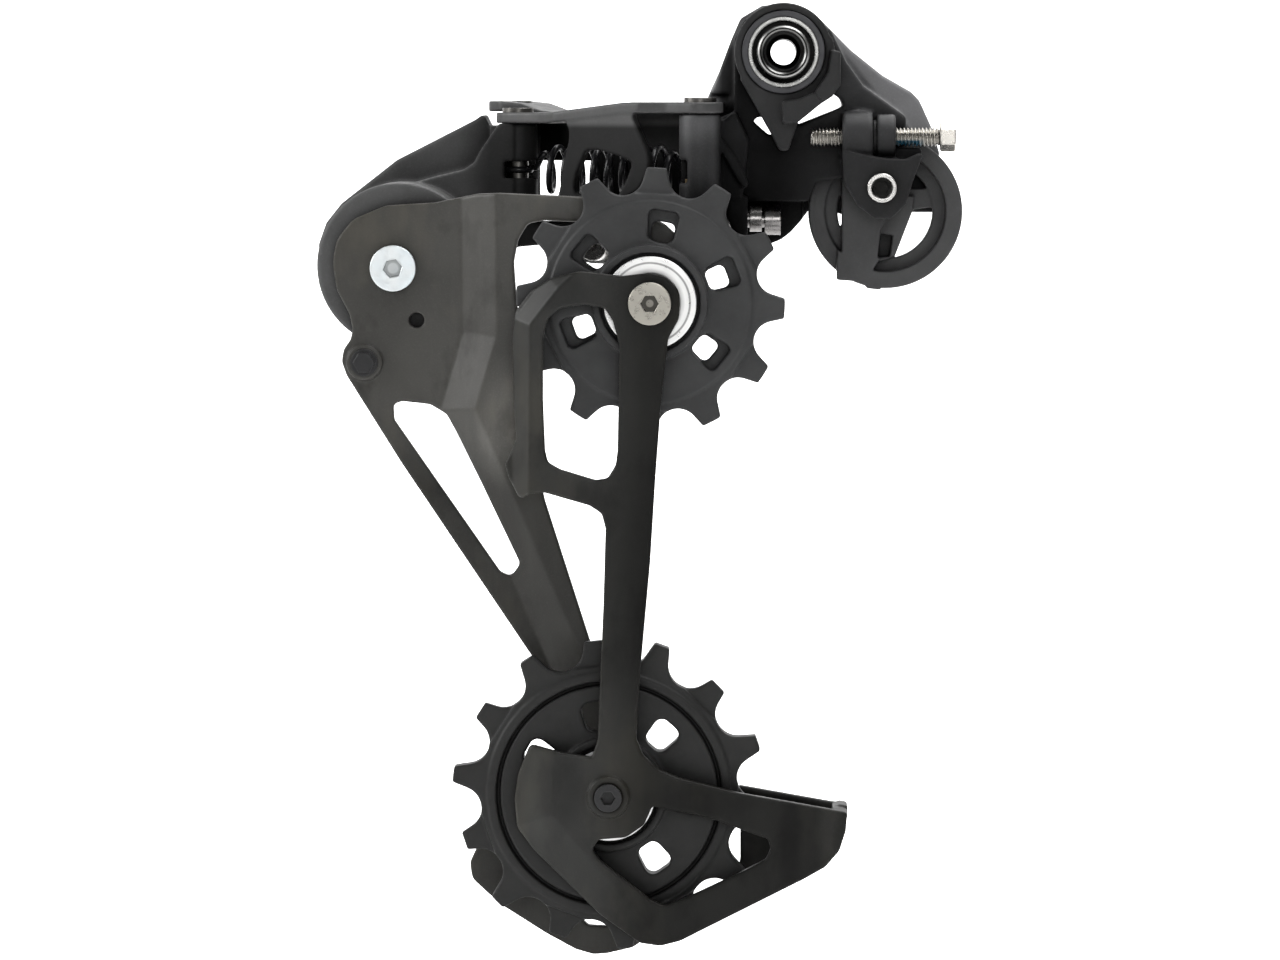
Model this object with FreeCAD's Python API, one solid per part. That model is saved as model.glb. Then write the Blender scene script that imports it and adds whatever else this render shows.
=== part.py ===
import FreeCAD, Part
import math
import os

# Rear bicycle derailleur, long cage, twelve speed layout. Millimetres.
# The mounting bolt axis is the Y axis and Y = 0 is the face that seats on the hanger.
# +X points to the rear of the bicycle, +Y away from the bicycle (outboard), +Z up.
# A centre is (x, z) for a feature along Y, (x, y) along Z and (y, z) along X.
# An outline row is (x, z) for a sharp corner or (x, z, corner radius).

# ---- driving dimensions ----
RUN = 0.05                # radial running clearance of the bushes
MOUNT = (0, 0)            # mounting bolt axis
SLEEVE_R = 6.70
SHANK_R = 4.4
SHANK_END = 21.0
MOUNT_BUSH_R = 8.0
KNUCKLE_Y0, KNUCKLE_Y1 = 3.2, 20.0

# Parallelogram: the four link pins stand along Z
PIN_R = 2.0
PIN_BUSH_R = 2.8
BUSH_Z = -28.5            # bottom of the lower pin bushes
BARREL_Z = -28.6          # bottom of the barrels round them
LINK_GAP = 14.0           # outer link pins outboard of the inner ones
INNER_REAR = (-15.8, -4.0)
INNER_FRONT = (-51.2, 17.7)
OUTER_REAR = (INNER_REAR[0], INNER_REAR[1] + LINK_GAP)
OUTER_FRONT = (INNER_FRONT[0], INNER_FRONT[1] + LINK_GAP)
LINK_DX, LINK_DY = INNER_FRONT[0] - INNER_REAR[0], INNER_FRONT[1] - INNER_REAR[1]
LINK_LENGTH = math.hypot(LINK_DX, LINK_DY)
LINK_ANGLE = math.degrees(math.atan2(LINK_DY, LINK_DX))
TOP_Z, BOTTOM_Z = -9.6, -30.9
LINK_DROP = 2.0           # step down of the link tops towards the front
SHEET = 1.9
SPRING_Z = -22.55

# Screws and cable wheel of the b-knuckle
B_SCREW = (0.8, -16.10)
B_SCREW_R = 1.8
B_BORE_R = 1.85
B_INSERT_R = 3.2
B_INSERT_END = 21.16
HIGH_SCREW, LOW_SCREW = (1.0, -31.68), (6.4, -31.99)
LIMIT_SLEEVE_R = 2.0
WHEEL_AXIS = (18.66, -25.66)
WHEEL_BOLT_R = 1.6
WHEEL_CENTER = (19.54, -30.32)
WHEEL_Y0, WHEEL_Y1 = 5.8, 11.4

# Cage and pulleys
PIVOT = (-74.08, -40.96)
AXLE_R = 5.0
AXLE_SCREW_R = 2.5
PIVOT_BUSH_R = 6.6
UPPER = (-24.98, -46.98)
LOWER = (-32.78, -139.88)
PULLEY_Y = -12.0
PULLEY_BOLT_R = 2.5
BEARING_R = 6.5
BEARING_BORE_CAP_R = 3.7  # radius of the bearing inner ring and of the dust cap bores
CHAIN_PITCH = 12.7
TEETH_UPPER, TEETH_LOWER = 12, 14
INNER_Y = -19.2           # inboard face of the inner cage plate
OUTER_Y = -7.0            # inboard face of the outer cage plate beside the pulleys
RECESS_Y = -3.0           # the same face round the cage pivot
PLATE_T = 2.0
STOP_SCREW = (-79.58, -58.86)
STOP_SCREW_R = 1.7
THROUGH = (-40.0, 20.0)   # Y range that passes through the whole cage

os.makedirs("parts", exist_ok=True)
Vec = FreeCAD.Vector
X_DIR, Y_DIR, Z_DIR = Vec(1, 0, 0), Vec(0, 1, 0), Vec(0, 0, 1)
ORIGIN = Vec(0, 0, 0)


# ================= helpers =================
def save(name, *shapes):
    """Write the solids of the shapes to one file, with coplanar faces merged where sound."""
    solids = []
    for shape in shapes:
        clean = shape.copy().removeSplitter()
        size_change = abs(clean.BoundBox.DiagonalLength - shape.BoundBox.DiagonalLength)
        same = abs(clean.Volume - shape.Volume) < 1e-4 * shape.Volume and size_change < 1e-3
        if same and all(solid.isValid() for solid in clean.Solids) and clean.isValid():
            shape = clean
        solids += [solid for solid in shape.Solids if solid.Volume > 0.1]
    out = solids[0] if len(solids) == 1 else Part.makeCompound(solids)
    out.exportStep("parts/%s.step" % name)


def fuse(*shapes):
    out = shapes[0]
    for shape in shapes[1:]:
        out = out.fuse(shape)
    clean = out.copy().removeSplitter()
    same = abs(clean.Volume - out.Volume) < 1e-4 * abs(out.Volume)
    return clean if clean.isValid() and same else out


def cut(shape, *tools):
    for tool in tools:
        shape = shape.cut(tool)
    return shape


def unit(vector):
    result = Vec(vector)
    result.normalize()
    return result


def polar(center, radius, angle):
    turn = math.radians(angle)
    return (center[0] + radius * math.cos(turn), center[1] + radius * math.sin(turn))


def rounded(outline, y=0.0):
    """Closed wire through an outline in the plane Y = y."""
    corners = []                  # (start, middle, end) of each corner arc
    for i, (x, z, *radius) in enumerate(outline):
        corner = Vec(x, y, z)
        before, after = outline[i - 1], outline[(i + 1) % len(outline)]
        back = Vec(before[0] - x, 0, before[1] - z)
        ahead = Vec(after[0] - x, 0, after[1] - z)
        longest = 0.47 * min(back.Length, ahead.Length)
        back, ahead = unit(back), unit(ahead)
        angle = back.getAngle(ahead)
        radius = radius[0] if radius else 0
        if radius < 0.02 or angle > math.radians(176) or angle < math.radians(4):
            corners.append((corner, None, corner))
            continue
        tangent = min(radius / math.tan(angle / 2), longest)
        radius = tangent * math.tan(angle / 2)
        middle = corner + unit(back + ahead) * (radius / math.sin(angle / 2) - radius)
        corners.append((corner + back * tangent, middle, corner + ahead * tangent))
    edges = []
    for i, (start, middle, end) in enumerate(corners):
        if middle is not None:
            edges.append(Part.Arc(start, middle, end).toShape())
        following = corners[(i + 1) % len(corners)][0]
        if (following - end).Length > 1e-4:
            edges.append(Part.makeLine(end, following))
    return Part.Wire(edges)


def plate(outline, y_min, y_max):
    return Part.Face(rounded(outline, y_min)).extrude(Vec(0, y_max - y_min, 0))


def polygon(points):
    return Part.Face(Part.makePolygon(points + points[:1]))


def disc(center, radius, y_min, y_max):
    return Part.makeCylinder(radius, y_max - y_min, Vec(center[0], y_min, center[1]), Y_DIR)


def cone(center, radius0, radius1, y_min, y_max):
    base = Vec(center[0], y_min, center[1])
    return Part.makeCone(radius0, radius1, y_max - y_min, base, Y_DIR)


def ring(center, outer, inner, y_min, y_max):
    return disc(center, outer, y_min, y_max).cut(disc(center, inner, y_min - 1, y_max + 1))


def post(center, radius, z_min, z_max):
    return Part.makeCylinder(radius, z_max - z_min, Vec(center[0], center[1], z_min), Z_DIR)


def tube(center, outer, inner, z_min, z_max):
    return post(center, outer, z_min, z_max).cut(post(center, inner, z_min - 1, z_max + 1))


def rod(x_min, x_max, center, radius):
    return Part.makeCylinder(radius, x_max - x_min, Vec(x_min, center[0], center[1]), X_DIR)


def box(x_min, x_max, y_min, y_max, z_min, z_max):
    return Part.makeBox(x_max - x_min, y_max - y_min, z_max - z_min, Vec(x_min, y_min, z_min))


def hexagon(center, across, turn):
    return [polar(center, across / math.sqrt(3), turn + 60 * k) for k in range(6)]


def hex_y(center, across, y_min, y_max, turn=0.0):
    return plate(hexagon(center, across, turn), y_min, y_max)


def hex_x(center, across, x_min, x_max, turn=0.0):
    points = [Vec(x_min, y, z) for y, z in hexagon(center, across, turn)]
    return polygon(points).extrude(Vec(x_max - x_min, 0, 0))


def chamfered(solid, size, y):
    """Solid with a chamfer round its face at Y = y."""
    edges = [edge for edge in solid.Edges if abs(edge.BoundBox.YMin - y) < 1e-6]
    # The chamfer can fail where it is wider than a corner radius; the edge then stays sharp.
    try:
        soft = solid.makeChamfer(size, edges)
        if soft.isValid() and soft.Volume > 0.5 * solid.Volume:
            return soft
    except Exception:
        pass
    return solid


def placed(shape, turn, base, z=0.0):
    """Copy turned about Z and then moved from the origin to base (x, y) at height z."""
    out = shape.copy()
    out.rotate(ORIGIN, Z_DIR, turn)
    out.translate(Vec(base[0], base[1], z))
    return out


def coil(radius, wire, pitch, length):
    """Helical wire along +Z from the origin."""
    helix = Part.makeHelix(pitch, length, radius)
    section = Part.Wire(Part.makeCircle(wire, Vec(radius, 0, 0), Y_DIR))
    return Part.Wire(helix).makePipeShell([section], True, True)


def sheet_profile(line, thickness):
    """Closed (s, y) polygon of a folded sheet laid on the +Y side of the line."""
    normals = []
    for start, end in zip(line, line[1:]):
        run, rise = end[0] - start[0], end[1] - start[1]
        length = math.hypot(run, rise)
        normals.append((-rise / length, run / length))
    offset = []
    for i, (s, y) in enumerate(line):
        touching = normals[max(i - 1, 0):i + 1]
        across, up = (sum(part) for part in zip(*touching))
        length = math.hypot(across, up)
        across, up = across / length, up / length
        cosine = across * touching[0][0] + up * touching[0][1]
        offset.append((s + across * thickness / cosine, y + up * thickness / cosine))
    return line + offset[::-1]


def mitre(bend, i, sign):
    """Half space ahead of (+1) or behind (-1) the mitre plane at bend point i."""
    ahead = unit(unit(bend[i] - bend[i - 1]) + unit(bend[i + 1] - bend[i]))
    side = Vec(-ahead.z, 0, ahead.x) * 400
    base, rise = bend[i] + Vec(0, -60, 0), Vec(0, 120, 0)
    face = polygon([base - side, base + side, base + side + rise, base - side + rise])
    return face.extrude(ahead * (sign * 600))


def folded(outline, bend, line, thickness):
    """Outline cut from sheet folded along the bend, a polyline of (x, z) that runs down.

    The line gives (s, y) of the inboard face, s counted from the bend towards +X.
    """
    prism = plate(outline, *THROUGH)
    profile = sheet_profile(line, thickness)
    bend = [Vec(x, 0, z) for x, z in bend]
    pieces = []
    for i in range(len(bend) - 1):
        along = unit(bend[i + 1] - bend[i])
        across = Vec(-along.z, 0, along.x)
        slab = polygon([bend[i] + across * s + Vec(0, y, 0) - along * 250 for s, y in profile])
        slab = slab.extrude(along * 500)
        for j, sign in ((i, 1), (i + 1, -1)):
            if 0 < j < len(bend) - 1:
                slab = slab.common(mitre(bend, j, sign))
        pieces.append(slab.common(prism))
    return fuse(*pieces)


# ================= hanger side =================
save("mounting_bolt", cut(
    fuse(
        disc(MOUNT, 5.0, -9.0, 0.0),                        # M10 x 1 thread
        disc(MOUNT, SHANK_R, 0.0, SHANK_END),
        disc(MOUNT, 8.2, SHANK_END, 24.2)),                 # head
    disc(MOUNT, 2.4, -10, 26),                              # bore
    disc(MOUNT, 3.8, -9.5, -7.6),
    cone(MOUNT, 4.4, 3.8, -9.01, -8.4),
    hex_y(MOUNT, 6.0, 18.0, 26.0)))                         # key socket
save("mount_sleeve", fuse(
    ring(MOUNT, SLEEVE_R, 5.95, 0.05, 2.0),
    ring(MOUNT, SLEEVE_R, SHANK_R + RUN, 1.8, 20.9)))
save("mount_washer_ring", ring(MOUNT, 7.85, SLEEVE_R, 0.0, 3.0))

STOP_Y0, STOP_Y1 = 0.2, 3.0
stop_body = plate([
    (-8.06, -5.29, 0.38), (-2.15, -15.73), (-0.81, -18.57, 0.94), (0.90, -18.76, 0.94),
    (2.60, -13.64, 0.38), (3.17, -12.31, 0.19), (9.24, -8.33, 0.57), (10.75, -6.24, 0.57),
    (10.36, -2.45, 0.57), (9.21, 2.66, 0.75), (3.12, 7.96, 0.94), (-4.47, 7.20, 0.94),
    (-8.26, 2.28, 0.94)], STOP_Y0, STOP_Y1)
stop_body = fuse(stop_body, disc(MOUNT, 9.25, STOP_Y0, STOP_Y1))
# Two tabs reach inboard below and behind the bolt
low_tab = plate([
    (-0.08, -13.62, 0.38), (-0.08, -9.27, 0.38), (3.13, -8.89, 0.38), (5.59, -7.76, 0.19),
    (8.06, -8.89, 0.38), (2.95, -13.05, 0.38)], -3.8, 0.3)
rear_tab = plate([
    (6.92, -8.89, 0.19), (5.97, -7.57, 0.38), (8.42, -3.79, 0.57), (8.98, 0.36, 0.19),
    (10.68, -0.02, 0.19), (10.70, -6.24, 0.57), (9.19, -8.32, 0.38), (8.06, -9.08, 0.19)],
    -4.6, 0.3)
save("hanger_stop_plate", cut(fuse(stop_body, low_tab, rear_tab), disc(MOUNT, 7.95, -8, 5)))


# ================= b-knuckle =================
def wing_slope():
    """Wedge that thins the wing from its inboard side, deeper away from the bolt."""
    top, low = Vec(10.51, 0, 1.23), Vec(23.41, 0, -14.47)
    along = unit(low - top)
    outward = Vec(-along.z, 0, along.x) * 9.0
    section = [
        top + Vec(0, 12.0, 0), top + outward + Vec(0, 12.0, 0),
        top + outward + Vec(0, 12.2 + 9.0 * 0.50, 0), top + Vec(0, 12.2, 0)]
    return polygon([point - along * 14 for point in section]).extrude(along * 50)


def knuckle_body():
    """Shell, boss round the mounting bolt and the walls under them."""
    shell = plate([
        (-8.12, 6.42, 1.51), (-9.85, 2.40, 0.38), (-12.15, -3.74, 1.89), (-14.45, -8.73, 0.19),
        (-14.26, -12.19, 0.94), (-12.91, -13.34, 0.38), (-12.89, -28.34, 0.38),
        (-7.30, -29.11, 0.38), (-3.45, -25.26, 0.38), (3.28, -21.41, 0.57),
        (11.94, -20.64, 0.75), (17.11, -14.49, 1.13), (23.65, -14.48, 0.38),
        (27.52, -19.09, 0.38), (30.21, -20.25, 0.38), (28.65, -14.87, 1.89),
        (26.13, -9.30, 1.51), (24.59, -7.67, 1.32), (19.00, -4.51, 2.26), (12.84, 0.38, 1.89),
        (7.06, 6.23, 1.89), (3.21, 8.72, 0.94), (-3.90, 8.91, 0.94)], 12.2, KNUCKLE_Y1)
    shell = chamfered(shell, 2.2, KNUCKLE_Y1).cut(wing_slope())
    web = plate([
        (-9.23, 2.33, 0.57), (-9.21, -11.38, 0.57), (-12.27, -12.72, 0.57),
        (-12.84, -14.81, 0.38), (-12.83, -27.41, 0.38), (-7.85, -28.17, 0.38),
        (-3.46, -24.54, 0.38), (3.22, -20.72, 0.57), (10.47, -20.15, 0.38),
        (11.80, -14.43, 0.38), (23.25, -14.81, 0.57), (23.24, -12.33, 1.13),
        (15.02, -6.43, 1.51), (11.76, -1.86, 1.51), (8.88, 4.22, 1.51), (-0.09, 8.79, 1.89),
        (-7.33, 6.13, 1.89)], KNUCKLE_Y0, 12.4)
    boss = disc(MOUNT, 9.25, KNUCKLE_Y0, KNUCKLE_Y1)
    low_block = plate([
        (-7.87, -24.39, 0.19), (-3.27, -24.38, 0.38), (3.81, -20.56, 0.38),
        (12.03, -20.17, 0.19), (12.04, -23.61, 0.19), (6.30, -24.38, 0.38),
        (4.78, -28.21, 0.19), (-7.86, -28.21, 0.19)], KNUCKLE_Y0, 15.0)
    wheel_wall = plate([
        (3.27, -18.70, 0.19), (23.43, -13.33, 0.57), (27.48, -19.08, 0.38),
        (31.34, -22.54, 1.13), (32.70, -26.38, 0.75), (32.14, -30.51, 0.38),
        (24.45, -30.51, 0.19), (22.90, -27.53, 0.38), (12.91, -27.92, 0.38),
        (11.95, -31.00, 0.19), (10.80, -30.81, 0.19), (8.68, -29.56, 0.38),
        (5.60, -28.31, 0.38), (3.29, -28.31, 0.19)], 12.3, 15.8)
    low_box = plate([
        (-7.86, -27.26, 0.19), (-3.46, -27.25, 0.19), (4.88, -27.25, 0.19),
        (4.88, -30.12, 0.19), (3.26, -32.23, 0.57), (1.35, -34.34, 0.75),
        (-0.37, -35.68, 0.75), (-2.48, -36.54, 0.38), (-3.63, -36.45, 0.57),
        (-7.27, -35.11, 0.57)], 9.6, 15.0)
    limit_screw_lug = plate([
        (-10.71, -27.37, 0.19), (-10.70, -31.18, 0.38), (-9.17, -34.43, 0.57),
        (-6.88, -35.00, 0.38), (-6.89, -27.37, 0.19)], -2.6, 11.0)
    return shell.multiFuse([web, boss, low_block, wheel_wall, low_box, limit_screw_lug])


def pin_barrels():
    """Barrels of the two rear link pins and the ties beside them."""
    inner, outer = [post(pin, 3.8, BARREL_Z, -11.8) for pin in (INNER_REAR, OUTER_REAR)]
    inner_tie = plate([
        (-15.47, -13.07, 0.38), (-11.28, -13.07, 0.19), (-9.19, -11.36, 0.38),
        (-6.71, -16.68, 0.57), (-7.84, -27.33, 0.38), (-15.46, -27.71, 0.38)], -3.0, 3.4)
    outer_tie = box(-16.5, -9.0, 9.6, 13.4, -28.0, -12.4)
    return inner.multiFuse([outer, inner_tie, outer_tie])


def screw_barrels():
    """Barrels of the b screw and the lug that reaches inboard of the cable wheel."""
    front_barrel = rod(11.30, 16.80, B_SCREW, 4.7)
    barrel_link = plate([
        (11.72, -11.36, 0.38), (14.19, -10.79, 0.38), (16.85, -11.36, 0.19),
        (17.24, -14.40, 0.19), (11.73, -14.40, 0.19)], 0.8, 12.4)
    wheel_lug = plate([
        (11.30, -18.53, 0.19), (11.51, -24.59, 1.13), (14.17, -28.94, 1.89),
        (17.40, -31.40, 1.51), (20.25, -31.40, 1.51), (23.08, -28.75, 1.89),
        (24.58, -23.82, 1.51), (26.45, -18.90, 0.38), (23.05, -20.42, 0.38),
        (18.31, -20.04, 0.38)], -3.9, 2.4)
    lug_root = plate([
        (11.32, -14.38, 0.19), (11.34, -21.40, 0.19), (18.36, -21.40, 0.19),
        (23.11, -21.01, 0.19), (26.32, -18.93, 0.19), (23.08, -14.38, 0.19)], 0.0, 2.4)
    rear_barrel = rod(17.75, B_INSERT_END, B_SCREW, 4.15)
    return front_barrel.multiFuse([barrel_link, wheel_lug, lug_root, rear_barrel])


def spring_slot(pin, x_gap, half_height):
    """Room in front of a rear pin for the end of the parallelogram spring."""
    return box(pin[0] - 8, pin[0] - x_gap, pin[1] - 5.0, pin[1] + 1.6,
               SPRING_Z - half_height, SPRING_Z + half_height)


tie_rib = plate([
    (-12.80, -16.87, 0.19), (-11.66, -16.49, 0.19), (-7.85, -22.00, 0.19),
    (-6.70, -25.04, 0.38), (-7.46, -25.81, 0.38), (-8.99, -23.52, 0.19)], -4.2, -2.9)
knuckle_openings = (
    plate([
        (-6.06, -13.11, 0.57), (-5.01, -12.25, 0.38), (0.34, -11.77, 0.38),
        (1.69, -14.44, 0.38), (0.54, -15.97, 0.38), (-2.90, -15.88, 0.57)], -10, 30),
    plate([
        (1.30, -12.73, 0.38), (3.59, -9.29, 0.38), (9.32, -7.57, 0.57), (10.95, -8.72, 0.75),
        (11.53, -10.34, 0.47), (10.48, -10.91, 0.75), (3.03, -13.87, 0.19)], -10, 30),
    disc(WHEEL_CENTER, 15.9, WHEEL_Y0 - 0.4, WHEEL_Y1 + 0.4),
    disc(MOUNT, MOUNT_BUSH_R, 3.0, 21.0),
    disc(MOUNT, 9.6, -6.0, KNUCKLE_Y0),
    spring_slot(OUTER_REAR, 0.0, 1.2),
    spring_slot(INNER_REAR, 2.2, 2.3),
    post(OUTER_REAR, 6.1, -12.3, -8.0),
    post(OUTER_REAR, 6.1, -34.0, -28.7),
    post(INNER_REAR, PIN_BUSH_R, -40, 0),
    post(OUTER_REAR, PIN_BUSH_R, -40, 0),
    rod(3.14, 16.99, B_SCREW, B_BORE_R),
    rod(16.99, 21.25, B_SCREW, B_INSERT_R),
    rod(B_INSERT_END, 31.59, B_SCREW, 2.2),
    disc(WHEEL_AXIS, 3.8, 5.0, 14.3),
    disc(WHEEL_AXIS, WHEEL_BOLT_R, -8, 16),
    rod(-14, 10, HIGH_SCREW, LIMIT_SLEEVE_R),
    rod(-14, 10, LOW_SCREW, LIMIT_SLEEVE_R),
    box(-6.92, 1.24, -6, 9.6, -35.64, -28.61),
)
# Each group is opened before the groups are joined
body, barrels, screw_end, rib = [
    cut(group, *knuckle_openings)
    for group in (knuckle_body(), pin_barrels(), screw_barrels(), tie_rib)]
save("b_knuckle", body.fuse(barrels).fuse(screw_end).fuse(rib))

save("mount_bore_bushing", ring(MOUNT, MOUNT_BUSH_R, SLEEVE_R + RUN, 3.25, KNUCKLE_Y1))
save("rear_pin_bushings", *[
    tube(pin, PIN_BUSH_R, PIN_R + RUN, z, z + 4.5)
    for pin in (INNER_REAR, OUTER_REAR) for z in (BUSH_Z, -16.4)])

# ---- screws of the b-knuckle, along X ----
save("b_screw_insert", cut(
    rod(17.03, B_INSERT_END, B_SCREW, B_INSERT_R), rod(0, 40, B_SCREW, B_BORE_R)))
b_screw = fuse(rod(5.23, 29.98, B_SCREW, B_SCREW_R), hex_x(B_SCREW, 4.76, 29.88, 32.91, 30.0))
save("b_adjust_screw", cut(b_screw, hex_x(B_SCREW, 2.5, 31.40, 33.48)))

# Columns: name, centre, head start x, head end x, head radius
LIMIT_SCREWS = (
    ("high_limit_screw", HIGH_SCREW, -6.35, -4.07, 2.4),
    ("low_limit_screw", LOW_SCREW, -3.50, -0.45, 2.85),
)
for name, center, head_start, head_end, head_radius in LIMIT_SCREWS:
    screw = fuse(rod(-11.49, head_start + 0.1, center, 1.5),
                 rod(head_start, head_end, center, head_radius))
    save(name, cut(screw, hex_x(center, 2.0, head_end - 1.6, head_end + 1)))
save("limit_screw_sleeves", *[
    cut(rod(-9.97, -6.74, center, LIMIT_SLEEVE_R), rod(-20, 20, center, 1.55))
    for center in (HIGH_SCREW, LOW_SCREW)])


# ================= cable wheel =================
def cable_wheel():
    rim = fuse(
        ring(WHEEL_CENTER, 14.65, 11.6, WHEEL_Y0, WHEEL_Y0 + 2.2),
        ring(WHEEL_CENTER, 14.65, 9.15, WHEEL_Y0 + 2.1, WHEEL_Y1))
    cable_groove = ring(WHEEL_CENTER, 15.2, 13.2, WHEEL_Y0 + 1.7, WHEEL_Y1 - 1.5)
    hub = disc(WHEEL_AXIS, 4.4, WHEEL_Y0, WHEEL_Y1)
    inside = disc(WHEEL_CENTER, 13.0, WHEEL_Y0 - 1, WHEEL_Y1 + 1)
    front_spoke = plate([
        (11.28, -24.00), (11.32, -40.08), (17.08, -41.61), (18.60, -39.11),
        (18.58, -33.94, 0.75), (20.86, -28.20), (18.55, -23.99)], WHEEL_Y0, WHEEL_Y1)
    rear_spoke = plate([
        (20.42, -26.25), (30.92, -25.86), (31.89, -29.11), (23.87, -30.07, 0.38),
        (21.39, -30.45)], WHEEL_Y0 + 2.4, WHEEL_Y1 - 0.8)
    low_spoke = plate([
        (17.03, -27.44), (25.07, -27.43), (24.70, -30.30), (21.38, -38.92),
        (18.41, -40.07)], WHEEL_Y0 + 1.4, WHEEL_Y1 - 0.8)
    pocket = plate([
        (18.56, -34.49, 0.19), (21.05, -34.87, 0.19), (20.49, -39.08, 0.19),
        (18.00, -39.27, 0.19)], 2.0, WHEEL_Y0 + 3.6)
    front_relief = plate([
        (1.30, -18.62), (10.47, -18.62), (10.55, -47.28), (1.36, -47.29)],
        2.0, WHEEL_Y0 + 1.6)
    low_step = plate([
        (10.34, -39.25), (10.35, -43.36, 0.19), (15.32, -43.74, 0.19),
        (16.09, -44.98, 0.19), (18.58, -45.27), (18.56, -39.24)], WHEEL_Y0, WHEEL_Y0 + 1.7)
    wheel = fuse(rim, fuse(hub, front_spoke, rear_spoke, low_spoke).common(inside))
    wheel = cut(wheel, cable_groove, disc(WHEEL_AXIS, 2.9, 2, 14), pocket, front_relief)
    return fuse(wheel, cut(low_step, disc(WHEEL_CENTER, 11.6, 2, 14)))


save("cable_wheel", cable_wheel())
save("cable_wheel_bush", ring(WHEEL_AXIS, 2.85, WHEEL_BOLT_R, 2.45, WHEEL_Y1 + 0.3))
save("cable_wheel_nut", ring(WHEEL_AXIS, 3.4, WHEEL_BOLT_R, WHEEL_Y1 + 0.35, 13.4))
save("cable_wheel_bolt", cut(
    fuse(disc(WHEEL_AXIS, WHEEL_BOLT_R, -4.5, 13.8), disc(WHEEL_AXIS, 2.75, -5.4, -3.9)),
    hex_y(WHEEL_AXIS, 2.5, -6, -3.6),
    disc(WHEEL_AXIS, 1.75, -6, -4.6),
    cone(WHEEL_AXIS, 2.1, 1.75, -5.41, -4.9)))


# ================= links =================
# A link is built with its rear pin at the origin and its front pin on +X, then placed.
FRONT_TOP_Z = TOP_Z - LINK_DROP
LINK_END = LINK_LENGTH + 4.0
EAR_X, EAR_END = LINK_LENGTH + 1.5, LINK_LENGTH + 5.9
ANCHOR = (25.0, -36.8)    # cable anchor on the outer link
ANCHOR_R = 2.0


def plan_plate(outline, z_min, z_max):
    """Prism over a plan outline of (along, across, corner radius) rows."""
    solid = Part.Face(rounded(outline)).extrude(Vec(0, z_max - z_min, 0))
    solid.rotate(ORIGIN, X_DIR, 90)            # (x, y, z) -> (x, -z, y)
    solid = solid.mirror(ORIGIN, Y_DIR)
    solid.translate(Vec(0, 0, z_min))
    return solid


def drilled(link):
    return cut(link, post((0, 0), PIN_R, -40, 0), post((LINK_LENGTH, 0), PIN_R, -40, 0))


def inner_link():
    plan = [
        (-4.2, -4.2, 4.2), (4.0, -4.2, 3), (12, -3.2, 4), (30, -3.2, 4), (38, -4.0, 3),
        (LINK_END, -4.0, 4.0), (LINK_END, 4.0, 4.0), (34, 4.6, 5), (29, 6.2, 3),
        (10, 6.2, 3), (5, 4.4, 4), (-4.2, 4.2, 4.2)]
    top_line = [(-10, TOP_Z), (13.3, TOP_Z, 1.5), (31.0, FRONT_TOP_Z, 1.5), (60, FRONT_TOP_Z)]
    under_line = [(x, z - SHEET, *radius) for x, z, *radius in top_line[::-1]]
    top = plan_plate(plan, -20, 0).common(plate(top_line + under_line, -20, 20))
    bottom = plan_plate(plan, BOTTOM_Z, BOTTOM_Z + SHEET)
    web = plate([
        (27.2, -11.5), (25.4, -15.6, 4), (26.7, -20.4, 6), (28, -27, 4), (29.5, -29.5),
        (29.5, -30.5), (11, -30.5), (11, -28.5, 1.5), (13.4, -27.6, 2), (10, -26.2, 3),
        (8.3, -23.4, 3), (7.5, -20.9, 3), (8.1, -18.6, 4), (10, -15.0, 6), (11.3, -12.5, 2),
        (11.3, -10.2)], 4.5, 6.1)
    web_window = plate([
        (22.0, -18.6, 1.5), (19.2, -18.5, 2), (14.8, -19.5, 2), (11.2, -20.8, 1),
        (12.6, -24.3, 2), (14.6, -27.4, 1.5), (24.9, -27.4, 1.5), (24.3, -23.4, 2)], 3, 8)
    return drilled(fuse(top, bottom, cut(web, web_window)))


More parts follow.
